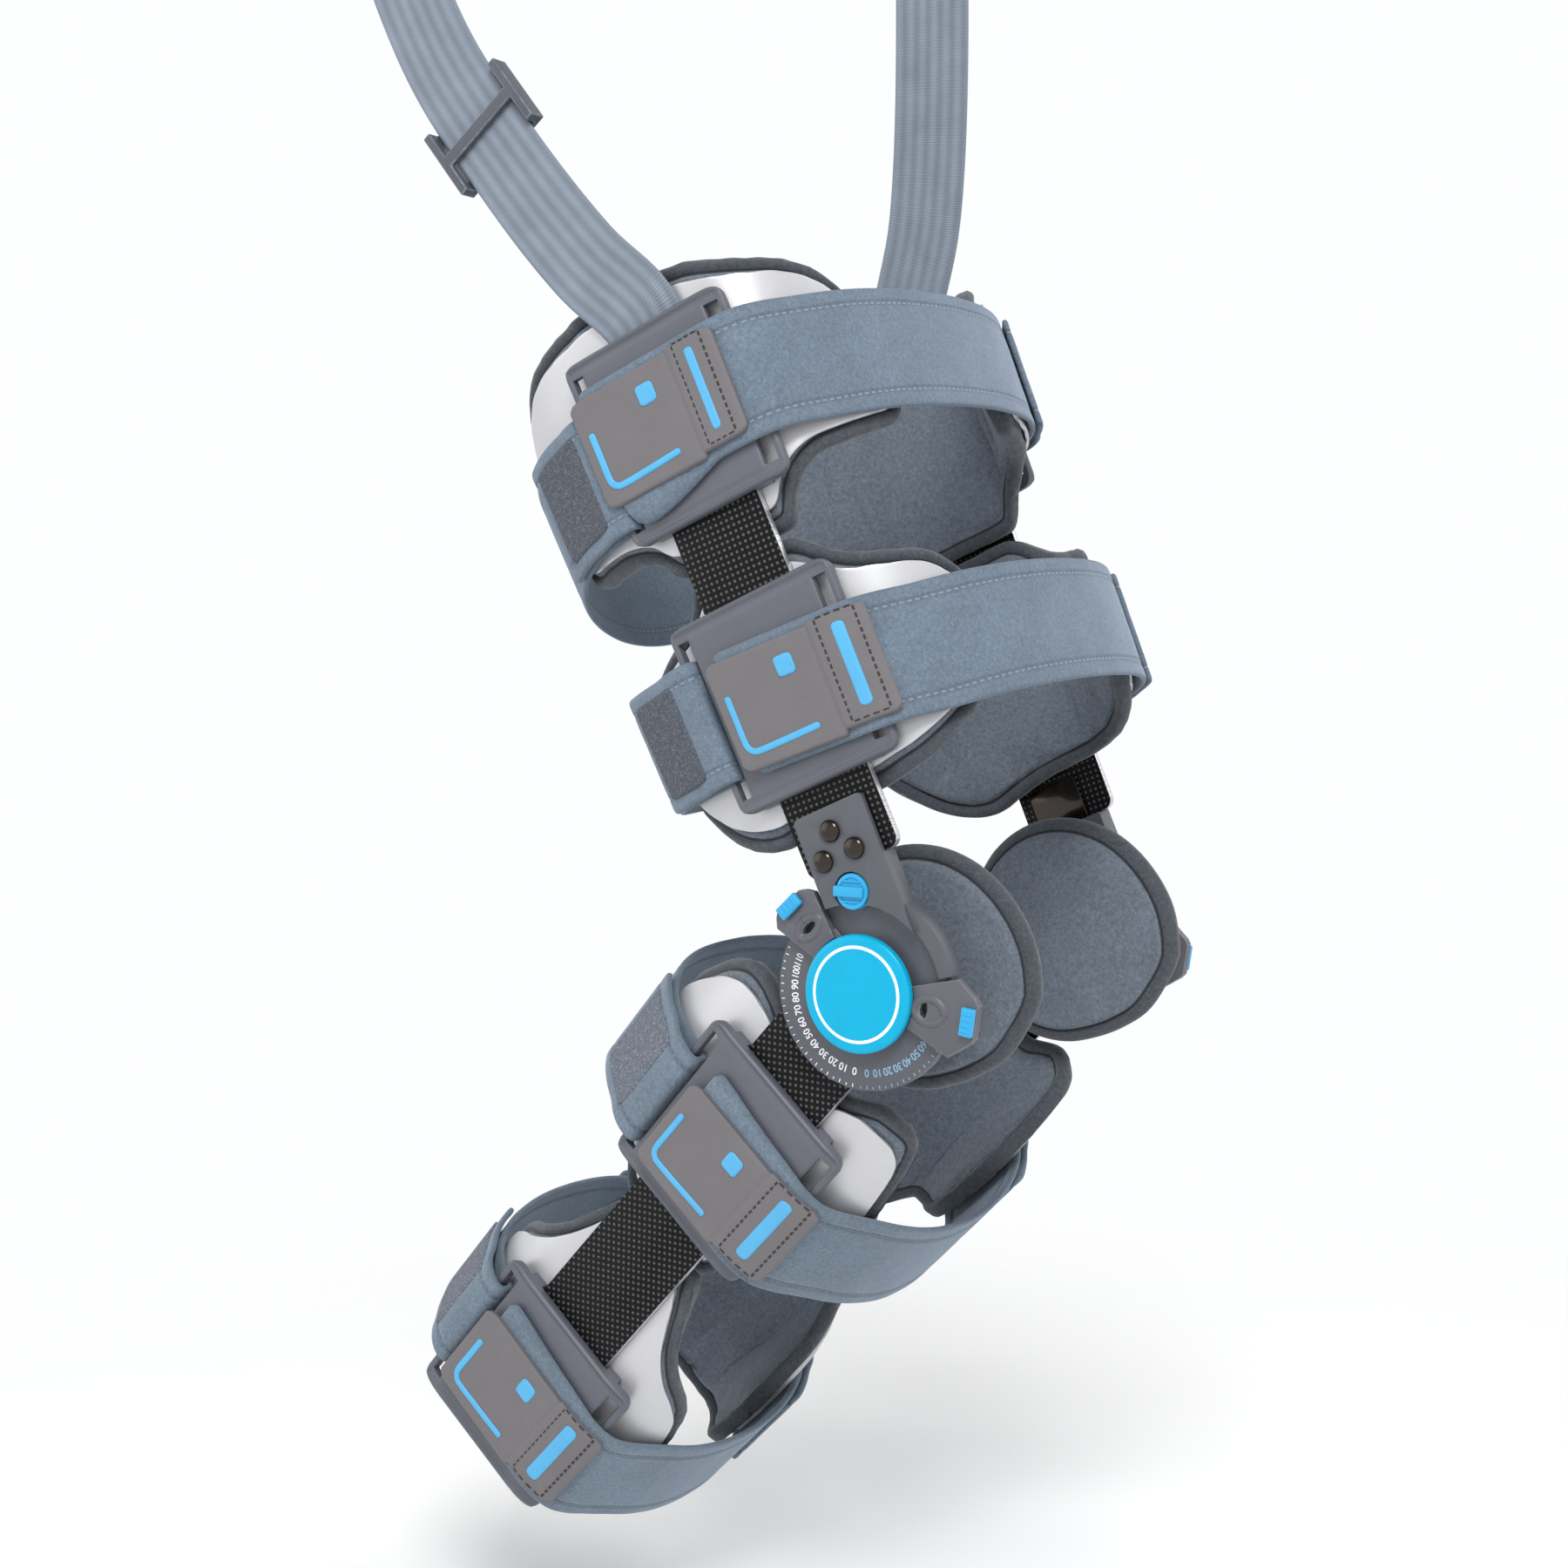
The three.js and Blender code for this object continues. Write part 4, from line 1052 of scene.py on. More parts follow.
@dataclass
class Cuff:
    """One of the four cuffs, with its two plates, shells and pads, its straps and its tab."""

    name: str
    half: Half
    station: float
    front_reach: float
    rear_reach: float
    rise: float
    fall: float
    front: float
    rear: float
    edges: Edges
    tab_back: float
    strap_up: float
    rear_up: float
    tilt: float
    front_sag: float
    rear_sag: float
    slack_side: int
    slack: Sequence[tuple[float, float]]

    shell_thick: float = 1.6
    pad_thick: float = 8.0
    pad_gap: float = 0.7
    shell_inset: float = 8.0
    seam: float = 5.0
    plate_half: float = 34.0
    plate_high: float = 35.8
    plate_back: float = 3.6
    plate_face: float = 6.6
    plate_rim: float = 0.8
    plate_corner: float = 5.0
    slot_from: float = 27.0
    slot_to: float = 31.4
    slot_high: float = 30.3
    channel: float = 19.85
    leg_foot: float = 6.2
    strap_width: float = 46.0
    strap_thick: float = 2.4
    strap_level: float = 1.7
    strap_bow: float = 0.7
    tab_width: float = 41.0
    tab_length: float = 62.0
    tab_thick: float = 2.0
    tab_strip: float = 17.0
    tab_step: float = 2.0

    def __post_init__(self) -> None:
        """Works out the outline round the leg."""
        self.wall = self.half.level + self.half.splay * self.station - CLEAR
        self.girth = Girth(self.wall, self.front_reach, self.rear_reach)
        self.lean = self.half.splay * self.half.away
        self.strap_on_plate = self.plate_face + self.plate_rim + CLEAR + self.strap_thick / 2

    def bend(self, around: float, up: float, height: float) -> Vector:
        """The place of a flat pattern's point on the cuff, in the half's millimetres.

        Args:
            around: the length round the leg from the bar's middle line.
            up: the height up the cuff from its middle.
            height: the height outwards from the shell's outer face.

        Returns:
            The place.
        """
        x, out, across, outward = self.girth.at(around)
        growth = 1 + self.lean * up / self.wall
        return Vector((self.half.offset + growth * x + height * across,
                       -(growth * out + height * outward), self.half.away * self.station + up))

    def bend_point(self, point: Vector) -> Vector:
        """bend() for a vector."""
        return self.bend(*point)

    def outline(self, margin: float) -> tuple[Table, Table]:
        """The upper and the lower edge as tables of height against length round the leg.

        Args:
            margin: how far they stay inside the pad's edge.

        Returns:
            Both tables, from rear to front.
        """
        high: Table = []
        low: Table = []
        rear = [(-at, up, down, self.rear) for at, up, down in reversed(self.edges.rear)]
        front = [(at, up, down, self.front) for at, up, down in self.edges.front[1:]]
        for at, up, down, reach in rear + front:
            around = at * (reach - margin)
            high.append((around, up * (self.rise - margin)))
            low.append((around, -down * (self.fall - margin)))
        return high, low

    def lobe(self, margin: float, corner: float, rows: Sequence[float]
             ) -> tuple[Form, list[Vector], Callable[[float, float], Point]]:
        """Starts a flat form with the cuff's outline.

        Args:
            margin: how far it stays inside the pad's edge.
            corner: the radius of its two ends.
            rows: distances of the grid's rows from each edge.

        Returns:
            The form, its outline, and the function from a grid point to the flat pattern.
        """
        high, low = self.outline(margin)
        start, end = high[0][0], high[-1][0]
        columns = merged([start + d for d in (0, 0.15, 0.5, 1.1, 2, 3.1, 4.4, 6)],
                         spread(start + 6, end - 6, 1.5),
                         [end - d for d in (0, 0.15, 0.5, 1.1, 2, 3.1, 4.4, 6)])
        last = rows[-1]
        middle = [last + 10 * share for share in (0, 0.17, 0.33, 0.5, 0.67, 0.83)]
        stations = [*rows, *middle[1:], *[2 * last + 10 - d for d in reversed(rows)]]

        def place(x: float, station: float) -> Point:
            """The flat place of a grid point.

            Args:
                x: its column.
                station: its row.

            Returns:
                The place.
            """
            top, bottom = between(high, x), between(low, x)
            gap = min(x - start, end - x)
            share = math.sqrt(max(1 - (1 - gap / corner) ** 2, 0)) if gap < corner else 1.0
            centre, reach = (top + bottom) / 2, (top - bottom) / 2
            reach = max(reach * share, 0.4)
            fit = min(1.0, reach / (last * 1.25))
            if station <= last:
                y = centre - reach + station * fit
            elif station >= last + 10:
                y = centre + reach - (2 * last + 10 - station) * fit
            else:
                y = centre + (2 * (station - last) / 10 - 1) * (reach - last * fit)
            return x, y, 0.0

        form = Form.sheet(columns, stations)
        outline = [Vector(place(x, station)) for x in spread(start, end, 0.7)
                   for station in (stations[0], stations[-1])]
        outline += [Vector(place(x, station)) for x in (start, end)
                    for station in spread(stations[0], stations[-1], 0.5)]
        return form, outline, place

    def pad(self, look: Look) -> None:
        """Makes both pads: a foam core in a knitted cover with a bound edge.

        Args:
            look: the finishes.
        """
        face = -self.shell_thick - self.pad_gap
        back = face - self.pad_thick
        outer_profile = [(0, -2.6), (0.5, -1.5), (1.3, -0.5), (2.3, -0.15), (3.6, -0.5),
                         (4.6, -1.5), (5.0, -1.7), (5.5, -1.3), (6.3, 0.1), (7.0, 0.25),
                         (7.8, -0.1), (9.5, -0.2), (14, 0)]
        inner_profile = [(0, 2.9), (0.5, 2.0), (1.3, 1.3), (2.3, 1.1), (3.6, 1.4), (4.6, 2.2),
                         (5.0, 2.4), (5.6, 2.1), (7, 1.1), (9.5, 0.45), (14, 0.1), (22, 0)]
        for side in Side:
            form, outline, place = self.lobe(
                0, 11, (0, 0.5, 1.3, 2.3, 3.6, 4.5, 5.0, 5.5, 6.3, 7.2, 8.5, 11))
            tree = near_tree(outline)

            def puff(x: float, station: float, top: bool) -> Point:
                """The place of a point on the pad's cover.

                Args:
                    x: its column.
                    station: its row.
                    top: true on the upper layer.

                Returns:
                    The place.
                """
                x, y, _ = place(x, station)
                inside = tree.find(Vector((x, y, 0)))[2]
                crease = noise.noise(Vector((x * 0.06, y * 0.06, self.station)))
                ripple = noise.noise(Vector((x * 0.2, y * 0.2, side.value)))
                if top:
                    free = 1 if inside < 7.5 else 0.3
                    return x, y, face + between(outer_profile, inside) + 0.25 * free * ripple
                return x, y, (back + between(inner_profile, inside) + 0.45 * crease
                              + 0.25 * ripple * min(inside / 6, 1))

            form.shape(puff).edge_map(outline)
            form.hold(lambda vert: bool(vert[form.top])
                      or tree.find(Vector((vert.co.x, vert.co.y, 0)))[2] < self.seam + 0.7)
            form.warp(self.bend_point)
            made = form.piece(f"{self.name}_pad_cover_{side.word}", look.pad, self.half.body,
                              "pad_fabric", self.half.place(side),
                              [f"{self.name}_pad_{side.word}"], 80)
            Stuffing(3.0, 0.025, 2.5).swell(made)

    def shell(self, look: Look) -> None:
        """Makes both metal shells with rounded edges.

        Args:
            look: the finishes.
        """
        for side in Side:
            form, outline, place = self.lobe(self.shell_inset, 7, (0, 0.25, 0.6, 1.2, 3, 8))
            tree = near_tree(outline)

            def sheet(x: float, station: float, top: bool) -> Point:
                """The place of a point on the shell.

                Args:
                    x: its column.
                    station: its row.
                    top: true on the upper layer.

                Returns:
                    The place.
                """
                x, y, _ = place(x, station)
                inside = tree.find(Vector((x, y, 0)))[2]
                soft = 0.5 * (1 - math.sqrt(max(0, 1 - (1 - min(inside, 0.6) / 0.6) ** 2)))
                return x, y, -soft if top else soft - self.shell_thick

            form.shape(sheet).warp(self.bend_point)
            form.piece(f"{self.name}_shell_sheet_{side.word}", look.shell, self.half.body,
                       "shell_aluminium", self.half.place(side),
                       [f"{self.name}_shell_{side.word}"], 60)

    def rounded(self, x: float, y: float, width: float, height: float, corner: float
                ) -> tuple[float, float]:
        """Draws a rectangle's corners in to a radius.

        Args:
            x: the point's place across.
            y: its place up.
            width: half the rectangle's width.
            height: half its height.
            corner: the corners' radius.

        Returns:
            The point's new place.
        """
        a = (abs(x) - (width - corner)) / corner
        b = (abs(y) - (height - corner)) / corner
        if a <= 0 or b <= 0:
            return x, y
        new_a, new_b = a * math.sqrt(1 - b * b / 2), b * math.sqrt(1 - a * a / 2)
        return (math.copysign(width - corner + corner * new_a, x),
                math.copysign(height - corner + corner * new_b, y))

    def plate(self, look: Look) -> None:
        """Makes both plates, with a raised rim, a low panel and a slot at each side.

        Args:
            look: the finishes.
        """
        width, height = self.plate_half, self.plate_high
        foot = self.channel + self.leg_foot
        steps = [0, 0.25, 0.7, 1.3, 1.9, 2.35]
        across = merged(
            *[[way * v for v in (0, 5, 10, 15, 18, self.channel, self.channel + 0.12, 22.5, foot,
                                 foot + 0.12, 26.55, self.slot_from, self.slot_to)]
              for way in (-1, 1)],
            *[[way * (width - d) for d in steps + [3.4, 5]] for way in (-1, 1)])
        up = merged(*[[way * (height - d) for d in steps + [2.8, 3.6, 4.4, 5, 6.4]]
                      for way in (-1, 1)],
                    *[[way * self.slot_high] for way in (-1, 1)], spread(-28, 28, 7))
        rim = [(0, -0.9), (0.25, -0.1), (0.7, 0.5), (1.3, self.plate_rim), (1.9, 0.6),
               (2.35, 0.15), (2.8, 0.0), (4.4, 0.0)]

        def solid(x: float, y: float) -> bool:
            """Whether a face is outside both slots."""
            return not (self.slot_from < abs(x) < self.slot_to and abs(y) < self.slot_high)

        def mould(x: float, y: float, top: bool) -> Point:
            """The place of a point on the plate.

            Args:
                x: its column.
                y: its row.
                top: true on the upper layer.

            Returns:
                The place.
            """
            depth = min(width - abs(x), height - abs(y))
            if top:
                level = self.plate_face + between(rim, depth)
                if abs(x) < 26.56 and depth > 4:
                    level += 0.45 * min((depth - 4) / 1.2, 1) * (1 if abs(x) < 26.5 else 0.6)
            else:
                level = CLEAR if self.channel < abs(x) - 0.05 < foot else self.plate_back
            return (*self.rounded(x, y, width, height, self.plate_corner), level)

        for side in Side:
            form = Form.sheet(across, up, solid).shape(mould)
            form.warp(self.bend_point)
            upright = [line for line in form.mesh.edges if line.calc_face_angle(0) > 1.3
                       and len({vert[form.top] for vert in line.verts}) == 2]
            bmesh.ops.bevel(form.mesh, geom=upright, offset=1.3, offset_type="OFFSET", segments=3,
                            profile=0.5, affect="EDGES", material=-1, clamp_overlap=True)
            form.soften(0.35, 50, 2)
            form.piece(f"{self.name}_plate_moulding_{side.word}", look.plate, self.half.body,
                       "plate_grey", self.half.place(side),
                       [f"{self.name}_plate_{side.word}"], 40)

    # Straps

    def fold(self, reach: float) -> Table:
        """A strap's end: through the slot, round its outer bar and back over itself.

        Args:
            reach: where it ends, from the plate's middle.

        Returns:
            Pairs of place and height.
        """
        inside = self.slot_to - 2 * CLEAR - self.strap_thick / 2
        top, edge = self.strap_on_plate, self.plate_half
        rest = self.strap_level + self.strap_bow + self.strap_thick + 3 * CLEAR
        free = spread(edge + 13, reach, (reach - edge - 13) / 3)[1:]
        return [(edge + 5, self.strap_level), (self.slot_to + 1.2, self.strap_level),
                (inside + 0.9, self.strap_level + 0.4), (inside, self.plate_back - 0.2),
                (inside, self.plate_face + self.plate_rim), (inside + 0.9, top - 0.5),
                (self.slot_to + 1.2, top), (edge + 2, top), (edge + 7, (2 * top + rest) / 3),
                (edge + 13, rest + 0.3), *[(place, rest) for place in free]]

    def sag(self, around: float, start: float, end: float) -> float:
        """A smooth bump from 0 at a strap's ends to 1 at its middle."""
        share = (around - start) / (end - start)
        return math.sin(math.pi * share) ** 2 if 0 < share < 1 else 0.0

    def front_middle(self, around: float) -> float:
        """The height of the front strap's middle line.

        Args:
            around: the length round the leg.

        Returns:
            The height.
        """
        far = 2 * self.girth.front_length
        near = self.plate_half + 20
        slope = self.tilt * max(min(around, near), self.tab_back)
        return self.strap_up + slope - self.front_sag * self.sag(around, near,
                                                                 far - self.plate_half)

    def rear_middle(self, around: float) -> float:
        """The height of the rear strap's middle line.

        Args:
            around: the length round the leg.

        Returns:
            The height.
        """
        start = -(self.plate_half + 5)
        end = -2 * self.girth.rear_length - start
        return self.rear_up - self.rear_sag * self.sag(around, start, end)

    def front_path(self) -> Table:
        """The front strap's way, from under the tab to the far plate's front slot.

        Returns:
            Pairs of length round the leg and height over the shell.
        """
        far = 2 * self.girth.front_length
        edge, top = self.plate_half, self.strap_on_plate
        level = self.strap_level + self.strap_bow
        around = spread(edge + 26, far - edge - 5, (far - 2 * edge - 31) / 11)[1:-1]
        return [(self.tab_back + 4, top), (0, top), (SPINE_HALF, top), (edge + 1, top),
                (edge + 8, 6.4), (edge + 16, 3.8), (edge + 26, level),
                *[(place, level) for place in around],
                *[(far - place, height) for place, height in self.fold(edge + 30)]]

    def rear_path(self) -> Table:
        """The rear strap's way, from one plate's rear slot to the other's.

        Returns:
            Pairs of length round the leg and height over the shell.
        """
        far = 2 * self.girth.rear_length
        ending = self.fold(self.plate_half + 40)
        start = -(self.plate_half + 5)
        around = spread(start, -far - start, (far + 2 * start) / 13)[1:-1]
        level = self.strap_level + self.strap_bow
        return [*[(-place, height) for place, height in reversed(ending)],
                *[(place, level) for place in around],
                *[(place - far, height) for place, height in ending]]


class Way:
    """A band's way as closely spaced frames, on which flat patterns are laid."""

    def __init__(self, points: Sequence[Vector], middle: Callable[[int, float], Vector]) -> None:
        """Works out the directions along a way.

        Args:
            points: places along the way.
            middle: gives the place of a point across the band at an index.
        """
        self.middle = middle
        self.lengths = [0.0]
        for before, here in zip(points, points[1:]):
            self.lengths.append(self.lengths[-1] + (here - before).length)
        self.outs: list[Vector] = []
        self.points = list(points)
        for i, here in enumerate(points):
            before, after = points[max(i - 1, 0)], points[min(i + 1, len(points) - 1)]
            along = (after - before).normalized()
            across = (middle(i, 1.0) - middle(i, -1.0)).normalized()
            self.outs.append(across.cross(along).normalized())

    @property
    def length(self) -> float:
        """The way's length."""
        return self.lengths[-1]

    def at(self, along: float, across: float, height: float) -> Vector:
        """The place of a flat pattern's point.

        Args:
            along: the length along the way.
            across: the distance across the band.
            height: the height out of its middle face.

        Returns:
            The place.
        """
        high = bisect.bisect_right(self.lengths, along, 1, len(self.lengths) - 1)
        low = high - 1
        share = (along - self.lengths[low]) / (self.lengths[high] - self.lengths[low])
        base = self.middle(low, across).lerp(self.middle(high, across), share)
        return base + self.outs[low].lerp(self.outs[high], share).normalized() * height


def smooth_line(points: Sequence[tuple[float, ...]], step: float) -> list[Vector]:
    """A smooth curve through points, with its own points spaced closer in tight bends.

    Args:
        points: the places that it goes through.
        step: the largest spacing.

    Returns:
        Places along the curve.
    """
    raw = [Vector((*point, 0, 0)[:3]) for point in points]
    raw = [2 * raw[0] - raw[1], *raw, 2 * raw[-1] - raw[-2]]
    found: list[Vector] = []
    for i in range(1, len(raw) - 2):
        p0, p1, p2, p3 = raw[i - 1:i + 3]
        d0, d1, d2 = [max((b - a).length, 1e-6) ** 0.5 for a, b in ((p0, p1), (p1, p2), (p2, p3))]
        first = ((p1 - p0) / d0 - (p2 - p0) / (d0 + d1) + (p2 - p1) / d1) * d1
        last = ((p2 - p1) / d1 - (p3 - p1) / (d1 + d2) + (p3 - p2) / d2) * d1
        count = max(4, math.ceil((p2 - p1).length / step))
        for k in range(count):
            t = k / count
            found.append(p1 * (2 * t ** 3 - 3 * t ** 2 + 1) + first * (t ** 3 - 2 * t ** 2 + t)
                         + p2 * (3 * t ** 2 - 2 * t ** 3) + last * (t ** 3 - t ** 2))
    found.append(raw[-2])
    return found


@dataclass
class StrapMaker:
    """Makes a cuff's two straps, the hook patches on them, and the tab with its marks."""

    cuff: Cuff
    look: Look
    edge_rows: tuple[float, ...] = (0, 0.25, 0.7, 1.6, 3.2, 5.2, 6.2, 7.2, 9, 13, 18)
    patch_from: float = 7.0
    patch_long: float = 32.0
    patch_wide: float = 36.0

    def band_way(self, path: Table, middle: Callable[[float], float]) -> Way:
        """The way of a strap from its path on the cuff.

        Args:
            path: pairs of length round the leg and height.
            middle: gives the middle line's height up the cuff.

        Returns:
            The way.
        """
        cuff = self.cuff
        line = smooth_line(path, 3.0)
        points = [cuff.bend(p.x, middle(p.x), p.y) for p in line]
        return Way(points, lambda i, across: cuff.bend(line[i].x, middle(line[i].x) + across,
                                                       line[i].y))

    def band(self, name: str, way: Way, node: str, slack: Callable[[float], float] | None = None
             ) -> None:
        """Makes a strap along a way.

        Args:
            name: the piece's name.
            way: the way of its middle.
            node: the CAD node that it replaces.
            slack: gives how far one edge bulges at a length along the way, or None.
        """
        cuff = self.cuff
        half, thick = cuff.strap_width / 2, cuff.strap_thick
        rows = merged([-half + d for d in self.edge_rows], [0.0],
                      [half - d for d in self.edge_rows])
        profile = [(0, 0.25), (0.25, 0.6), (0.7, 0.86), (1.6, 1.0), (5.2, 0.94), (6.2, 0.8),
                   (7.2, 0.96), (13, 1.02), (18, 1.0)]
        columns = merged(way.lengths, [0.3, 0.8, 1.6], [way.length - d for d in (0.3, 0.8, 1.6)])
        ends = [(0, 0.3), (0.3, 0.65), (0.8, 0.9), (1.6, 1.0)]
        seed = cuff.station

        def weave(x: float, y: float, top: bool) -> Point:
            """The place of a point of the strap's pattern.

            Args:
                x: its column.
                y: its row.
                top: true on the upper layer.

            Returns:
                The place.
            """
            share = between(profile, half - abs(y)) * between(ends, min(x, way.length - x))
            corner = max(0.0, 3 - min(x, way.length - x))
            y -= math.copysign(0.5 * corner * corner / 3 * (abs(y) / half) ** 4, y)
            soft = 0.12 * noise.noise(Vector((x * 0.09, y * 0.12, seed)))
            return x, y, (thick / 2 * share + soft) * (1 if top else -1)

        def lay(point: Vector) -> Vector:
            """The place of a point of the pattern on the cuff, with its edge let out.

            Args:
                point: the pattern's point.

            Returns:
                The place.
            """
            reach = cuff.slack_side * point.y - (half - 4.5)
            if slack is None or reach <= 0:
                return way.at(*point)
            out = slack(point.x)
            roll = math.sin(math.pi * min(reach / 4.5, 1)) * min(out / 8, 1)
            return way.at(point.x, point.y + cuff.slack_side * out * reach / 4.5,
                          point.z * (1 + 0.9 * roll))

        form = Form.sheet(columns, rows).shape(weave).warp(lay)
        finish = self.look.strap if cuff.half is THIGH else self.look.calf_strap
        form.piece(name, finish, cuff.half.body, "strap_fabric", cuff.half.place(), [node], 80)

    def patch(self, name: str, way: Way, start: float, around: float) -> None:
        """Makes a hook patch sewn on the outer face of a strap's free end.

        Args:
            name: the piece's name.
            way: the strap's way.
            start: where it begins along the way.
            around: the length round the leg where it lies.
        """
        cuff = self.cuff
        length, half = self.patch_long, self.patch_wide / 2
        middle = start + length / 2
        outward = cuff.bend(around, 0, 1) - cuff.bend(around, 0, 0)
        sign = 1 if (way.at(middle, 0, 1) - way.at(middle, 0, 0)).dot(outward) > 0 else -1
        base = cuff.strap_thick / 2
        stations = (0, 0.3, 0.9, 2.2)
        columns = merged([start + d for d in stations], spread(start, start + length, 3),
                         [start + length - d for d in stations])
        rows = merged([-half + d for d in stations], spread(-half, half, 4),
                      [half - d for d in stations])

        def lay(x: float, y: float, upper: bool) -> Point:
            """The place of a point of the patch.

            Args:
                x: its column.
                y: its row.
                upper: true on the upper layer.

            Returns:
                The place.
            """
            inside = min(x - start, start + length - x, half - abs(y))
            rise = between([(0, 0.25), (0.3, 0.6), (0.9, 0.8), (2.2, 0.75)], inside)
            px, py = cuff.rounded(x - start - length / 2, y, length / 2, half, 3)
            return px + start + length / 2, py, sign * (base + rise if upper else base - 0.3)

        form = Form.sheet(columns, rows).shape(lay)
        form.warp(lambda p: way.at(*p))
        paint = self.look.calf_hook if cuff.half is CALF else self.look.hook
        form.piece(name, paint, cuff.half.body, "strap_fabric", cuff.half.place(), (), 60)

    def straps(self) -> None:
        """Makes the front and the rear strap with their patches."""
        cuff = self.cuff
        front = self.band_way(cuff.front_path(), cuff.front_middle)
        rear = self.band_way(cuff.rear_path(), cuff.rear_middle)
        back = cuff.tab_back + 4
        self.band(f"{cuff.name}_front_band", front, f"{cuff.name}_front_strap",
                  lambda along: max(between(cuff.slack, along + back), 0))
        self.band(f"{cuff.name}_rear_band", rear, f"{cuff.name}_rear_strap")
        middle = cuff.plate_half + 40 - self.patch_from - self.patch_long / 2
        self.patch(f"{cuff.name}_hook_outer", rear, self.patch_from, -middle)
        self.patch(f"{cuff.name}_hook_inner", rear,
                   rear.length - self.patch_from - self.patch_long,
                   middle - 2 * cuff.girth.rear_length)

    # The tab

    def tab_edges(self) -> tuple[Table, Table]:
        """The tab's upper and lower edge against the length round the leg.

        Returns:
            Both tables.
        """
        cuff = self.cuff
        start, half, step = cuff.tab_back, cuff.tab_width / 2, cuff.tab_step
        end = start + cuff.tab_length
        notch = end - cuff.tab_strip
        low, high = -half - step / 2, half - step / 2
        upper = [(start, high), (notch - 0.9, high), (notch, high + step / 2),
                 (end, high + step / 2)]
        lower = [(start, low), (notch - 0.9, low), (notch, low + step), (end, low + step)]
        return upper, lower

    def on_tab(self, around: float, up: float, height: float) -> Vector:
        """The place of a point on the tab's own level, with height over its back.

        Args:
            around: the length round the leg.
            up: the height over the strap's middle line.
            height: the height over the tab's back.

        Returns:
            The place.
        """
        cuff = self.cuff
        base = cuff.strap_on_plate + cuff.strap_thick / 2 + CLEAR
        return cuff.bend(around, up + cuff.front_middle(around), base + height)

    def tab(self) -> None:
        """Makes the tab: a moulded rubber plate with a raised strip at its front."""
        cuff = self.cuff
        upper, lower = self.tab_edges()
        start, end = upper[0][0], upper[-1][0]
        notch = end - cuff.tab_strip
        stations = (0, 0.2, 0.55, 1.1, 2.2, 4)
        columns = merged([start + d for d in stations], spread(start + 4, notch - 3, 4),
                         [notch - 1.8, notch - 0.9, notch - 0.45, notch, notch + 0.6, notch + 1.4],
                         spread(notch + 3, end - 4, 4), [end - d for d in stations])
        rows = merged([-1 + d for d in (0, 0.01, 0.03, 0.06, 0.11, 0.2)], spread(-0.8, 0.8, 0.16),
                      [1 - d for d in (0, 0.01, 0.03, 0.06, 0.11, 0.2)])

        def level(table: Table, x: float) -> float:
            """The straight line between a table's points.

            Args:
                table: pairs of place and value.
                x: the place.

            Returns:
                The value there.
            """
            for (x0, y0), (x1, y1) in zip(table, table[1:]):
                if x <= x1:
                    return y0 + (y1 - y0) * max(x - x0, 0) / (x1 - x0)
            return table[-1][1]

        def mould(x: float, v: float, top: bool) -> Point:
            """The place of a point of the tab.

            Args:
                x: its column.
                v: its row.
                top: true on the upper layer.

            Returns:
                The place.
            """
            high, low = level(upper, x), level(lower, x)
            middle, half = (high + low) / 2, (high - low) / 2
            gap = min(x - start, end - x)
            corner = 4.0 if x - start < 5 else 3.0
            if gap < corner:
                half -= corner - math.sqrt(max(corner ** 2 - (corner - gap) ** 2, 0))
            y = middle + v * half
            inside = min(gap, half - abs(y - middle))
            soft = 0.9 * (1 - math.sqrt(max(0, 1 - (1 - min(inside, 1.1) / 1.1) ** 2)))
            dip = 0.35 * max(0.0, 1 - abs(x - notch + 0.9) / 0.9)
            welt = 0.25 if x > notch else 0.0
            return x, y, (cuff.tab_thick + welt - soft - dip) if top else 0.0

        form = Form.sheet(columns, rows).shape(mould)
        form.warp(lambda p: self.on_tab(*p))
        form.piece(f"{cuff.name}_tab_moulding", self.look.tab, cuff.half.body, "tab_rubber",
                   cuff.half.place(), [f"{cuff.name}_tab"], 45)
        self.marks(start, notch, end)

    def mark(self, width: float, height: float, corner: float,
             centre: tuple[float, float]) -> Form:
        """A raised mark with a rounded outline, drawn flat on the tab.

        Args:
            width: its width round the leg.
            height: its height.
            corner: its corners' radius.
            centre: its middle on the tab.

        Returns:
            The form, laid on the tab.
        """
        cuff = self.cuff
        steps = (0, 0.2, 0.5, 1.0)
        columns = merged([-width / 2 + d for d in steps], spread(-width / 2, width / 2, 1.2),
                         [width / 2 - d for d in steps])
        rows = merged([-height / 2 + d for d in steps], spread(-height / 2, height / 2, 1.2),
                      [height / 2 - d for d in steps])

        def raise_point(x: float, y: float, top: bool) -> Point:
            """The place of a point of the mark.

            Args:
                x: its column.
                y: its row.
                top: true on the upper layer.

            Returns:
                The place.
            """
            inside = min(width / 2 - abs(x), height / 2 - abs(y))
            rise = between([(0, 0.1), (0.2, 0.38), (0.5, 0.52), (1.0, 0.56)], inside)
            x, y = cuff.rounded(x, y, width / 2, height / 2, corner)
            return x + centre[0], y + centre[1], cuff.tab_thick + (rise if top else -0.4)

        form = Form.sheet(columns, rows).shape(raise_point)
        return form.warp(lambda p: self.on_tab(*p))

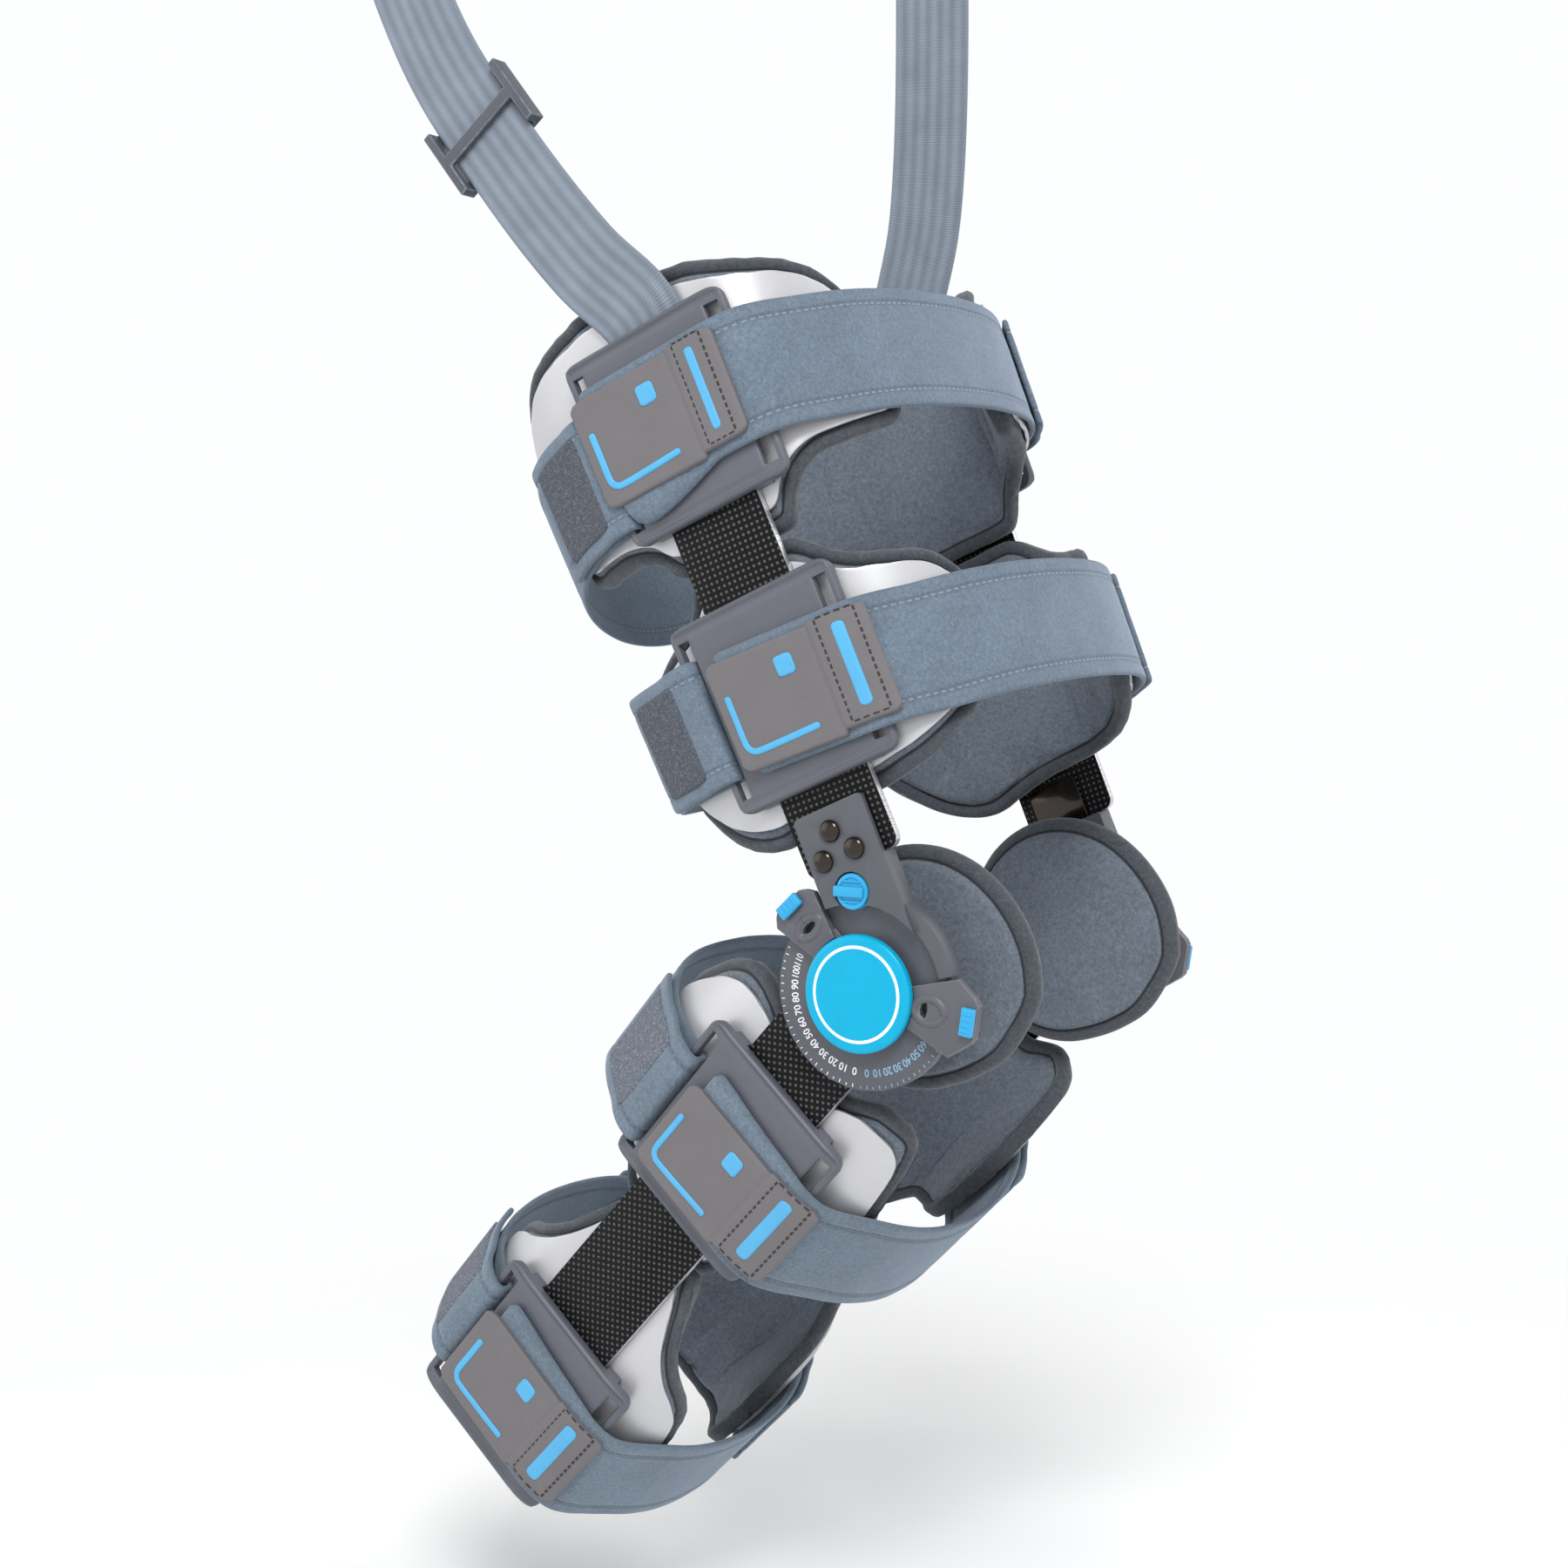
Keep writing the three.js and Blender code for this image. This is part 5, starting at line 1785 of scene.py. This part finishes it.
    def marks(self, start: float, notch: float, end: float) -> None:
        """Makes the tab's raised blue marks and the stitches round the long one.

        Args:
            start: the tab's rear end.
            notch: where its strip begins.
            end: its front end.
        """
        cuff = self.cuff
        bottom = -cuff.tab_width / 2 - cuff.tab_step / 2
        strip = (notch + end) / 2
        forms = self.mark(7.6, 7.6, 1.8, (start + 31.5, bottom + 31))
        forms.add(self.mark(3.7, 31, 1.8, (strip, 1.2)))
        corner, width = 4.0, 2.5
        left, low = start + 5, bottom + 6.2
        line = [(left, low + 22), (left, low + 12), (left, low + corner)]
        line += [(left + corner - corner * math.cos(a), low + corner - corner * math.sin(a))
                 for a in (0.4, 0.8, 1.2)]
        line += [(left + corner, low), (left + 14, low + 0.2), (left + 31, low + 0.9)]
        track = smooth_line(line, 1.5)
        way = Way(track, lambda i, across: self.across_line(track, i, across))
        steps = (0, 0.2, 0.5, 1.0)
        columns = merged(way.lengths, [*steps], [way.length - d for d in steps])
        rows = merged([-width / 2 + d for d in steps], [0.0], [width / 2 - d for d in steps])

        def raise_line(x: float, y: float, top: bool) -> Point:
            """The place of a point of the bent line.

            Args:
                x: its column.
                y: its row.
                top: true on the upper layer.

            Returns:
                The place.
            """
            inside = min(x, way.length - x, width / 2 - abs(y))
            rise = between([(0, 0.1), (0.2, 0.38), (0.5, 0.52), (1.0, 0.56)], inside)
            px, py = cuff.rounded(x - way.length / 2, y, way.length / 2, width / 2, 1.2)
            flat = way.at(px + way.length / 2, py, 0)
            return flat.x, flat.y, cuff.tab_thick + (rise if top else -0.4)

        bent = Form.sheet(columns, rows).shape(raise_line)
        forms.add(bent.warp(lambda p: self.on_tab(*p)))
        forms.piece(f"{cuff.name}_tab_marks", self.look.mark, cuff.half.body, "accent_blue",
                    cuff.half.place(), (), 50)
        stitches = Form()
        for column in (strip - 5.6, strip + 5.4):
            for up in spread(-16.5, 18.9, 2.7):
                stitches.block((column - 0.3, up - 0.85, cuff.tab_thick),
                               (column + 0.3, up + 0.85, cuff.tab_thick + 0.42), 0.14)
        for row in (-17.9, 20.2):
            for x in spread(strip - 4.2, strip + 4.0, 2.7):
                stitches.block((x - 0.85, row - 0.3, cuff.tab_thick),
                               (x + 0.85, row + 0.3, cuff.tab_thick + 0.42), 0.14)
        stitches.warp(lambda p: self.on_tab(*p))
        stitches.piece(f"{cuff.name}_tab_stitches", self.look.thread, cuff.half.body, "tab_rubber",
                       cuff.half.place(), (), 60)

    @staticmethod
    def across_line(track: Sequence[Vector], index: int, across: float) -> Vector:
        """A point beside a flat line.

        Args:
            track: the line's points.
            index: which point it is beside.
            across: how far beside it.

        Returns:
            The point.
        """
        before, after = track[max(index - 1, 0)], track[min(index + 1, len(track) - 1)]
        along = (after - before).normalized()
        return track[index] + Vector((along.y, -along.x, 0)) * -across


CUFFS = (
    Cuff("cuff_1", THIGH, 212.4, 64, 101, 54.5, 51.5, 98, 96, THIGH_TOP, -34, 1.5, -6, 0, 0, 18,
         -1, ((-30, 0), (-27, 6), (-22, 8.5), (-12, 7.5), (-2, 5), (8, 2), (14, 0))),
    Cuff("cuff_2", THIGH, 108.9, 72, 92, 49, 51, 90, 82, THIGH_LOW, -23, -3, 0, -0.06, 0, -8,
         -1, ((-19, 0), (34, 0))),
    Cuff("cuff_3", CALF, 89.5, 62, 77, 57.5, 50, 64, 80, CALF_TOP, -24, -6, -5, 0, 6, 4,
         1, ((-20, 6.2), (-12, 5.6), (0, 4.2), (12, 3.2), (24, 2.4), (34, 1), (44, 0))),
    Cuff("cuff_4", CALF, 231, 57, 61, 90.6, 33, 70, 68, CALF_LOW, -27, -4, 0, -0.03, 4, 0,
         1, ((-23, 6), (-14, 5.4), (0, 4), (12, 3.2), (24, 2.4), (34, 1), (44, 0))),
)


# The hinge


@dataclass(frozen=True)
class Lever:
    """A stop lever: its angle in the side view, its window's place and size, and its button's."""

    word: str
    angle: float
    window: float
    long: float
    wide: float
    button: float


LEVERS = (Lever("rear", 134, 30.0, 3.3, 5.2, 40.2), Lever("front", -8, 27.6, 6.0, 4.4, 43.4))
LEVER_THICK = 3.6


@dataclass
class Hinge:
    """The dial hinge of one side, with its cap, stops, lock, rivets and soft pad."""

    side: Side
    look: Look
    dial_face: float = 88.5
    cap_radius: float = 21.0
    cap_back: float = 91.8
    arm_face: float = 93.7
    knob_at: tuple[float, float] = (12.2, 33.8)
    knob_radius: float = 6.5
    knob_height: float = 5.2
    rivet_middle: float = 12.8
    rivet_spread: float = 6.8
    rivet_high: float = 56.3
    rivet_low: float = 47.4
    pad_face: float = 65.4
    pad_thick: float = 12.5
    pad_hub: float = 13.0
    hub_end: float = 80.3
    pad_seam: float = 5.0

    def build(self) -> None:
        """Makes every piece of the hinge."""
        self.mouldings()
        self.eyes()
        self.cap()
        self.knob()
        self.rivets()
        self.buttons()
        self.scale()
        self.knee_pad()

    def mouldings(self) -> None:
        """Rounds the edges of the housing and the two stop levers."""
        word = self.side.word
        for node, finish, body, slot in (
                ("hinge_housing", self.look.housing, "thigh_half", "hinge_grey"),
                ("rear_stop_lever", self.look.lever, f"rear_stop_{word}", "hinge_grey"),
                ("front_stop_lever", self.look.lever, f"front_stop_{word}", "hinge_grey")):
            form = copy_of(f"{node}_{word}").soften(0.45, 32, 2)
            form.piece(f"{node}_moulding_{word}", finish, body, slot, Matrix.Scale(MM, 4),
                       [f"{node}_{word}"], 30)

    def eyes(self) -> None:
        """Makes the raised lip round the window of each stop lever."""
        face = self.dial_face + CLEAR + LEVER_THICK
        half = 1.5
        for lever in LEVERS:
            form = Form.sheet(spread(0, 360, 8), spread(-half, half, 0.3))

            def lip(turn: float, across: float, top: bool) -> Point:
                """The place of a point of the lip, with its round drawn out to two points.

                Args:
                    turn: the angle round the lip.
                    across: the distance from its middle line.
                    top: true on the upper layer.

                Returns:
                    The place.
                """
                angle = math.radians(turn)
                narrow = abs(math.sin(angle)) ** 1.25
                x = (lever.long + across) * math.cos(angle)
                z = math.copysign((lever.wide + across) * narrow, math.sin(angle))
                rise = 0.75 * math.cos(across / half * math.pi / 2)
                return x, z, rise if top else -0.3

            form.shape(lip).warp(lambda p: Vector((p.x + lever.window, -(face + p.z), p.y)))
            bmesh.ops.remove_doubles(form.mesh, verts=form.mesh.verts[:], dist=1e-3)
            inner = [item for item in form.mesh.faces if all(len(line.link_faces) != 2
                                                             for line in item.edges)]
            bmesh.ops.delete(form.mesh, geom=inner, context="FACES_ONLY")
            form.turn(Matrix.Rotation(math.radians(-lever.angle), 4, "Y"))
            form.piece(f"{lever.word}_stop_eye_{self.side.word}", self.look.lever,
                       f"{lever.word}_stop_{self.side.word}", "hinge_grey",
                       WORLD.place(self.side), (), 40)

    def cap(self) -> None:
        """Makes the blue cap over the pivot."""
        back, radius = self.cap_back, self.cap_radius
        profile = [(0, back), (radius - 0.3, back), (radius, back + 0.3), (radius, back + 2.0),
                   (radius - 0.25, back + 2.6), (radius - 0.9, back + 3.0),
                   (radius - 2.0, back + 3.12), (15.0, back + 3.5), (8.0, back + 3.85),
                   (0, back + 4.0)]
        form = Form().lathe(profile, 72)
        form.piece(f"hinge_cap_dome_{self.side.word}", self.look.cap, "thigh_half", "cap_blue",
                   WORLD.place(self.side), [f"hinge_cap_{self.side.word}"], 40)

    def knob(self) -> None:
        """Makes the lock knob with its raised grip."""
        foot = self.dial_face + CLEAR
        top = foot + self.knob_height
        radius = self.knob_radius
        across, along = self.knob_at
        profile = [(0, foot), (radius - 0.2, foot), (radius, foot + 0.2), (radius, top - 0.9),
                   (radius - 0.3, top - 0.25), (radius - 0.9, top), (radius - 1.5, top - 0.05),
                   (radius - 1.9, top - 0.5), (0, top - 0.5)]
        grip = Form().block((-radius - 0.2, -(top + 1.4), -1.9),
                            (radius * 0.78, -(top - 1.2), 1.9), 0.5)
        for row in (-3.6, 3.6):
            grip.block((-3.4, -(top + 0.15), row - 0.35), (3.4, -(top - 1.2), row + 0.35), 0.2)
        grip.turn(Matrix.Translation((across, 0, along))
                  @ Matrix.Rotation(math.radians(-THIGH.turn), 4, "Y"))
        form = Form().lathe(profile, 40, self.knob_at).add(grip)
        form.piece(f"lock_knob_moulding_{self.side.word}", self.look.blue,
                   f"lock_knob_{self.side.word}", "accent_blue", THIGH.place(self.side),
                   [f"lock_knob_{self.side.word}"], 40)

    def rivets(self) -> None:
        """Makes the three domed rivets on their backing plate."""
        seat = self.arm_face + CLEAR
        low = THIGH.level + THIGH.splay * (self.rivet_low - 4) - CLEAR - 1.2
        spots = [(self.rivet_middle, self.rivet_high),
                 (self.rivet_middle + self.rivet_spread, self.rivet_low),
                 (self.rivet_middle - self.rivet_spread, self.rivet_low)]
        form = Form()
        form.block((spots[2][0] - 4, -(low + 1.2), self.rivet_low - 4),
                   (spots[1][0] + 4, -low, self.rivet_high + 4), 0.3)
        dome = [(4.0 * math.cos(a), seat + 0.35 + 1.85 * math.sin(a))
                for a in [math.pi / 2 * i / 7 for i in range(8)]]
        for spot in spots:
            form.lathe([(0, low + 0.4), (2.1, low + 0.4), (2.1, seat), (3.8, seat),
                        (4.0, seat + 0.15), *dome[:-1], (0, dome[-1][1])], 28, spot)
        form.piece(f"rivet_heads_{self.side.word}", self.look.rivet, "thigh_half", "rivet_metal",
                   THIGH.place(self.side), [f"rivets_{self.side.word}"], 50)

    def buttons(self) -> None:
        """Makes the ribbed push button of each stop lever."""
        foot = self.dial_face + CLEAR + LEVER_THICK + CLEAR
        for lever in LEVERS:
            radius = lever.button
            form = Form().block((radius - 2.5, -(foot + 2.3), -5), (radius + 2.5, -foot, 5), 0.6)
            for row in spread(-3, 3, 2):
                form.block((radius - 1.9, -(foot + 2.6), row - 0.5),
                           (radius + 1.9, -(foot + 1.8), row + 0.5), 0.2)
            form.turn(Matrix.Rotation(math.radians(-lever.angle), 4, "Y"))
            form.piece(f"{lever.word}_stop_button_moulding_{self.side.word}", self.look.blue,
                       f"{lever.word}_button_{self.side.word}", "accent_blue",
                       WORLD.place(self.side), [f"{lever.word}_stop_button_{self.side.word}"],
                       40)

    def scale(self) -> None:
        """Prints the plain degree numbers and their ticks on the dial."""
        rows = ((self.look.white_print, "white", [(262 - 9.2 * i, 10 * i) for i in range(12)]),
                (self.look.blue_print, "blue", [(272 + 8.6 * i, 10 * i) for i in range(8)]))
        for finish, word, marks in rows:
            form = Form()
            for angle, number in marks:
                turn = Matrix.Rotation(math.radians(-angle), 4, "Y")
                form.add(self.number(str(number)).turn(turn))
                for part in (0, 4.5):
                    tick = Form().block((33.0 if part == 0 else 33.4, -(self.dial_face + 0.09),
                                         -0.16), (34.3, -(self.dial_face - 0.1), 0.16), 0.03)
                    form.add(tick.turn(Matrix.Rotation(math.radians(-angle + part), 4, "Y")))
            form.piece(f"dial_scale_{word}_{self.side.word}", finish, "thigh_half", "hinge_grey",
                       WORLD.place(self.side), (), 30)

    def number(self, text: str) -> Form:
        """A printed number on the dial, upright along the radius on X.

        Args:
            text: its figures.

        Returns:
            The form.
        """
        curve = bpy.data.curves.new("number", "FONT")
        curve.body, curve.size = text, 3.9
        curve.align_x, curve.align_y = "CENTER", "CENTER"
        curve.offset = 0.05
        curve.extrude = 0.05
        holder = bpy.data.objects.new("number", curve)
        bpy.context.scene.collection.objects.link(holder)
        bpy.context.view_layer.update()
        data = bpy.data.meshes.new_from_object(
            holder.evaluated_get(bpy.context.evaluated_depsgraph_get()))
        form = Form()
        form.mesh.from_mesh(data)
        bpy.data.objects.remove(holder)
        bpy.data.meshes.remove(data)
        bpy.data.curves.remove(curve)
        narrow = Matrix.Diagonal((0.8 if len(text) > 2 else 0.95, 1, 1, 1))
        lay = Matrix(((0, 1, 0, 28.4), (0, 0, -1, -(self.dial_face + 0.04)), (-1, 0, 0, 0),
                      (0, 0, 0, 1)))
        mirrored = Matrix.Diagonal((-self.side.value, 1, 1, 1))
        return form.turn(lay @ mirrored @ narrow)

    def knee_pad(self) -> None:
        """Makes the soft pad between the hinge and the knee."""
        edge = ((0, 55), (20, 55), (40, 54), (60, 53), (80, 51), (100, 48), (120, 44), (140, 40),
                (160, 37), (180, 35), (200, 34), (220, 34), (240, 35), (260, 37), (280, 39),
                (300, 41), (318, 44.6), (330, 48), (345, 51), (355, 53.8), (360, 55))
        face, thick, seam = self.pad_face, self.pad_thick, self.pad_seam
        base = 60.0
        back = face - thick
        profile = [(0, back), *[(r, back + 0.3 * (r / 38) ** 4) for r in range(3, 39, 3)],
                   (41, back + 0.5), (44.5, back + 0.8), (48, back + 1.0), (51, back + 1.5),
                   (53, back + 1.9), (54.4, back + 2.6), (55, back + 3.1), (55.6, back + 2.9),
                   (57.2, back + 3.3), (58.8, back + 4.6), (59.8, back + 6.1),
                   (60, face - 5.2), (59.8, face - 3.9), (58.9, face - 2.3), (57.4, face - 1.3),
                   (55.7, face - 1.5), (55, face - 2.1), (54.2, face - 1.5), (52.6, face - 0.4),
                   (50.8, face - 0.15), (49, face - 0.05),
                   *[(r, face) for r in range(46, 14, -3)], (self.pad_hub, face),
                   (self.pad_hub, self.hub_end), (0, self.hub_end)]
        form = Form().lathe(profile, 96)

        def fit(point: Vector) -> Vector:
            """Draws the round pad in to its real outline.

            Args:
                point: the turned form's point.

            Returns:
                Its new place.
            """
            reach = math.hypot(point.x, point.z)
            if reach < 15:
                return point
            angle = math.degrees(math.atan2(point.z, point.x)) % 360
            wanted = between(edge, angle)
            inside = base - reach
            new = wanted - inside if inside < 12 else 15 + (reach - 15) * (wanted - 12 - 15) / 33
            ripple = 0.35 * noise.noise(Vector((point.x * 0.12, point.z * 0.12, point.y * 0.3)))
            scale = new / reach
            return Vector((point.x * scale, point.y + ripple, point.z * scale))

        for piece_face in form.mesh.faces:
            for loop in piece_face.loops:
                inside = base - math.hypot(loop.vert.co.x, loop.vert.co.z)
                loop[form.edge].uv = (max(inside, 0) * MM, 0)

        def sewn(vert: bmesh.types.BMVert) -> bool:
            """Whether a point is on the bound edge, the seam or the hub."""
            reach = math.hypot(vert.co.x, vert.co.z)
            return reach > base - seam - 0.8 or (reach < 16 and vert.co.y < 1 - face)

        form.hold(sewn).warp(fit)
        made = form.piece(f"knee_pad_cover_{self.side.word}", self.look.pad, "thigh_half",
                          "pad_fabric", WORLD.place(self.side), [f"knee_pad_{self.side.word}"], 80)
        Stuffing(5.0, 0.03, 3.0).swell(made)


@dataclass
class Bars:
    """The flat side bars, with rounded edges and their woven print."""

    look: Look

    def build(self) -> None:
        """Makes the four bars."""
        for half, node in ((THIGH, "upper_bar"), (CALF, "lower_bar")):
            for side in Side:
                name = f"{node}_{side.word}"
                form = copy_of(name).soften(0.4, 35, 2)
                form.piece(f"{node}_rail_{side.word}", self.look.bars[half.name], half.body,
                           "bar_black", Matrix.Scale(MM, 4), [name], 30)


@dataclass
class Suspender:
    """The webbing loop that holds the brace up, with its slide buckle."""

    look: Look
    width: float = 33.0
    thick: float = 1.6
    shift: float = 1.0
    bar_end: float = 236.0
    rim: float = CUFFS[0].station + CUFFS[0].plate_high + 5

    def route(self) -> list[Vector]:
        """The webbing's middle line, in the frame's millimetres.

        Returns:
            Places along it.
        """
        lean = math.radians(-THIGH.turn)

        def base(along: float, side: int) -> Point:
            """A place on the thigh bar's line.

            Args:
                along: the length from the hinge.
                side: the sign of Y.

            Returns:
                The place.
            """
            across = THIGH.offset + self.shift
            out = THIGH.level + THIGH.splay * along + 1.5
            return (across * math.cos(lean) - along * math.sin(lean), side * out,
                    across * math.sin(lean) + along * math.cos(lean))

        foot = self.bar_end + 1.2
        return smooth_line([
            base(foot, -1), base(self.rim, -1), (-112, -99, 257), (-148, -96, 294),
            (-187, -92, 343), (-222, -88, 425), (-236, -84, 520), (-228, -76, 610),
            (-205, -56, 690), (-172, -20, 738), (-145, 20, 738), (-116, 58, 690), (-94, 80, 610),
            (-80, 92, 500), (-76, 96, 378), (-80, 99, 290), base(self.rim, 1), base(foot, 1)], 6.0)

    def build(self) -> None:
        """Makes the webbing and the slide buckle."""
        points = self.route()
        lean = math.radians(-THIGH.turn)
        front = Vector((math.cos(lean), 0, math.sin(lean)))

        def beside(index: int, across: float) -> Vector:
            """A point across the webbing.

            Args:
                index: which point it is beside.
                across: how far beside it.

            Returns:
                The point.
            """
            before = points[max(index - 1, 0)]
            after = points[min(index + 1, len(points) - 1)]
            along = (after - before).normalized()
            way = (front - along * front.dot(along)).normalized()
            return points[index] + way * across

        way = Way(points, beside)
        half = self.width / 2
        rows = spread(-half, half, 1.1)
        columns = merged(way.lengths)

        def weave(x: float, y: float, top: bool) -> Point:
            """The place of a point of the webbing's pattern.

            Args:
                x: its column.
                y: its row.
                top: true on the upper layer.

            Returns:
                The place.
            """
            edge = between([(0, 0.35), (0.5, 0.7), (1.1, 0.95), (2.2, 1.0)], half - abs(y))
            rib = 0.1 * math.cos(2 * math.pi * y / 5.4)
            return x, y, (self.thick / 2 * edge + rib - 0.1) * (1 if top else -1)

        form = Form.sheet(columns, rows).shape(weave)
        form.warp(lambda p: way.at(*p))
        form.piece("suspension_webbing", self.look.webbing, "thigh_half", "webbing_fabric",
                   Matrix.Scale(MM, 4), ["suspension_strap"], 80)
        LOG.info("webbing length %.0f mm", way.length)
        slider = copy_of("strap_slider").soften(0.6, 40, 3)
        slider.piece("slide_buckle", self.look.slider, "thigh_half", "hinge_grey",
                     Matrix.Scale(MM, 4), ["strap_slider"], 40)


# The studio


@dataclass(frozen=True)
class Studio:
    """The camera at the photo's angle, the floor and the lights."""

    azimuth: float = 30.97
    elevation: float = 4.72
    roll: float = 0.33
    distance: float = 1.07535
    aside: float = -0.07396
    above: float = 0.0670
    focal: float = 3277.36
    image: float = 1800.0
    sensor: float = 36.0
    sky: tuple[float, float, float, float] = (0.3, 0.95, 1.0, 0.3)
    floor: float = -0.2754
    floor_fade: tuple[float, float] = (250.0, 800.0)

    def camera(self) -> None:
        """Makes the camera."""
        az, el, roll = (math.radians(v) for v in (self.azimuth, self.elevation, self.roll))
        back = Vector((math.sin(az) * math.cos(el), -math.cos(az) * math.cos(el), math.sin(el)))
        right = Vector((math.cos(az), math.sin(az), 0))
        up = back.cross(right)
        rolled = math.cos(roll) * right + math.sin(roll) * up
        top = -math.sin(roll) * right + math.cos(roll) * up
        data = bpy.data.cameras.new("camera")
        data.sensor_width = self.sensor
        data.lens = self.focal / self.image * self.sensor
        data.clip_start, data.clip_end = 0.05, 20
        made = bpy.data.objects.new("camera", data)
        made.matrix_world = Matrix.Translation(
            back * self.distance + rolled * self.aside + top * self.above) @ Matrix(
                (rolled, top, back)).transposed().to_4x4()
        bpy.context.scene.collection.objects.link(made)
        bpy.context.scene.camera = made

    def light(self, name: str, place: Point, aim: Point, size: float, power: float) -> None:
        """Adds a square soft light.

        Args:
            name: its name.
            place: where it hangs, in metres.
            aim: what it faces.
            size: its side.
            power: its power in watts.
        """
        data = bpy.data.lights.new(name, "AREA")
        data.size, data.energy = size, power
        made = bpy.data.objects.new(name, data)
        made.location = place
        made.rotation_mode = "QUATERNION"
        made.rotation_quaternion = (Vector(aim) - Vector(place)).to_track_quat("-Z", "Y")
        bpy.context.scene.collection.objects.link(made)

    def build(self) -> None:
        """Makes the camera, the lights, the sky and the floor.

        The floor lies below the lowest point that the calf half reaches as the knee turns.
        """
        self.camera()
        self.light("key", (0.9, -1.7, 2.0), (-0.05, 0, 0.1), 1.0, 52)
        self.light("fill", (-1.7, -1.2, 0.7), (-0.05, 0, 0.1), 1.6, 7)
        self.light("back", (0.9, 1.6, 1.4), (-0.05, 0, 0.2), 1.6, 12)
        world = bpy.data.worlds.new("sky")
        world.use_nodes = True
        tree = world.node_tree
        sky = tree.nodes["Background"]
        sky.inputs["Color"].default_value = (0.985, 0.99, 1, 1)
        place = tree.nodes.new("ShaderNodeTexCoord")
        parts = tree.nodes.new("ShaderNodeSeparateXYZ")
        shade = tree.nodes.new("ShaderNodeMapRange")
        tree.links.new(place.outputs["Generated"], parts.inputs[0])
        tree.links.new(parts.outputs[2], shade.inputs[0])
        for index, value in enumerate(self.sky, 1):
            shade.inputs[index].default_value = value
        tree.links.new(shade.outputs[0], sky.inputs["Strength"])
        bpy.context.scene.world = world
        mesh = bmesh.new()
        bmesh.ops.create_grid(mesh, x_segments=2, y_segments=2, size=1.2)
        bmesh.ops.translate(mesh, vec=(0, 0, self.floor), verts=mesh.verts[:])
        data = bpy.data.meshes.new("floor")
        mesh.to_mesh(data)
        mesh.free()
        paint = Paint("floor", Specular_IOR_Level=0.2)
        across, deep, _ = paint.split(paint.place())
        reach = (across * across + deep * deep).root()
        paint.tree.links.new((1 - reach.ramp(*self.floor_fade)).socket,
                             paint.shader.inputs["Alpha"])
        data.materials.append(paint.finish((0.95, 0.95, 0.95), 0.9))
        floor = bpy.data.objects.new("floor", data)
        bpy.context.scene.collection.objects.link(floor)
        view = bpy.context.scene.view_settings
        view.view_transform = "Standard"
        view.exposure = 0.0


def main() -> None:
    """Builds every sub-assembly in order."""
    logging.basicConfig(level=logging.INFO, format="%(message)s", stream=sys.stdout)
    Studio().build()
    look = Look()
    Bars(look).build()
    for side in Side:
        Hinge(side, look).build()
    for cuff in CUFFS:
        cuff.pad(look)
        cuff.shell(look)
        cuff.plate(look)
        maker = StrapMaker(cuff, look)
        maker.straps()
        maker.tab()
    Suspender(look).build()


if __name__ == "__main__":
    main()
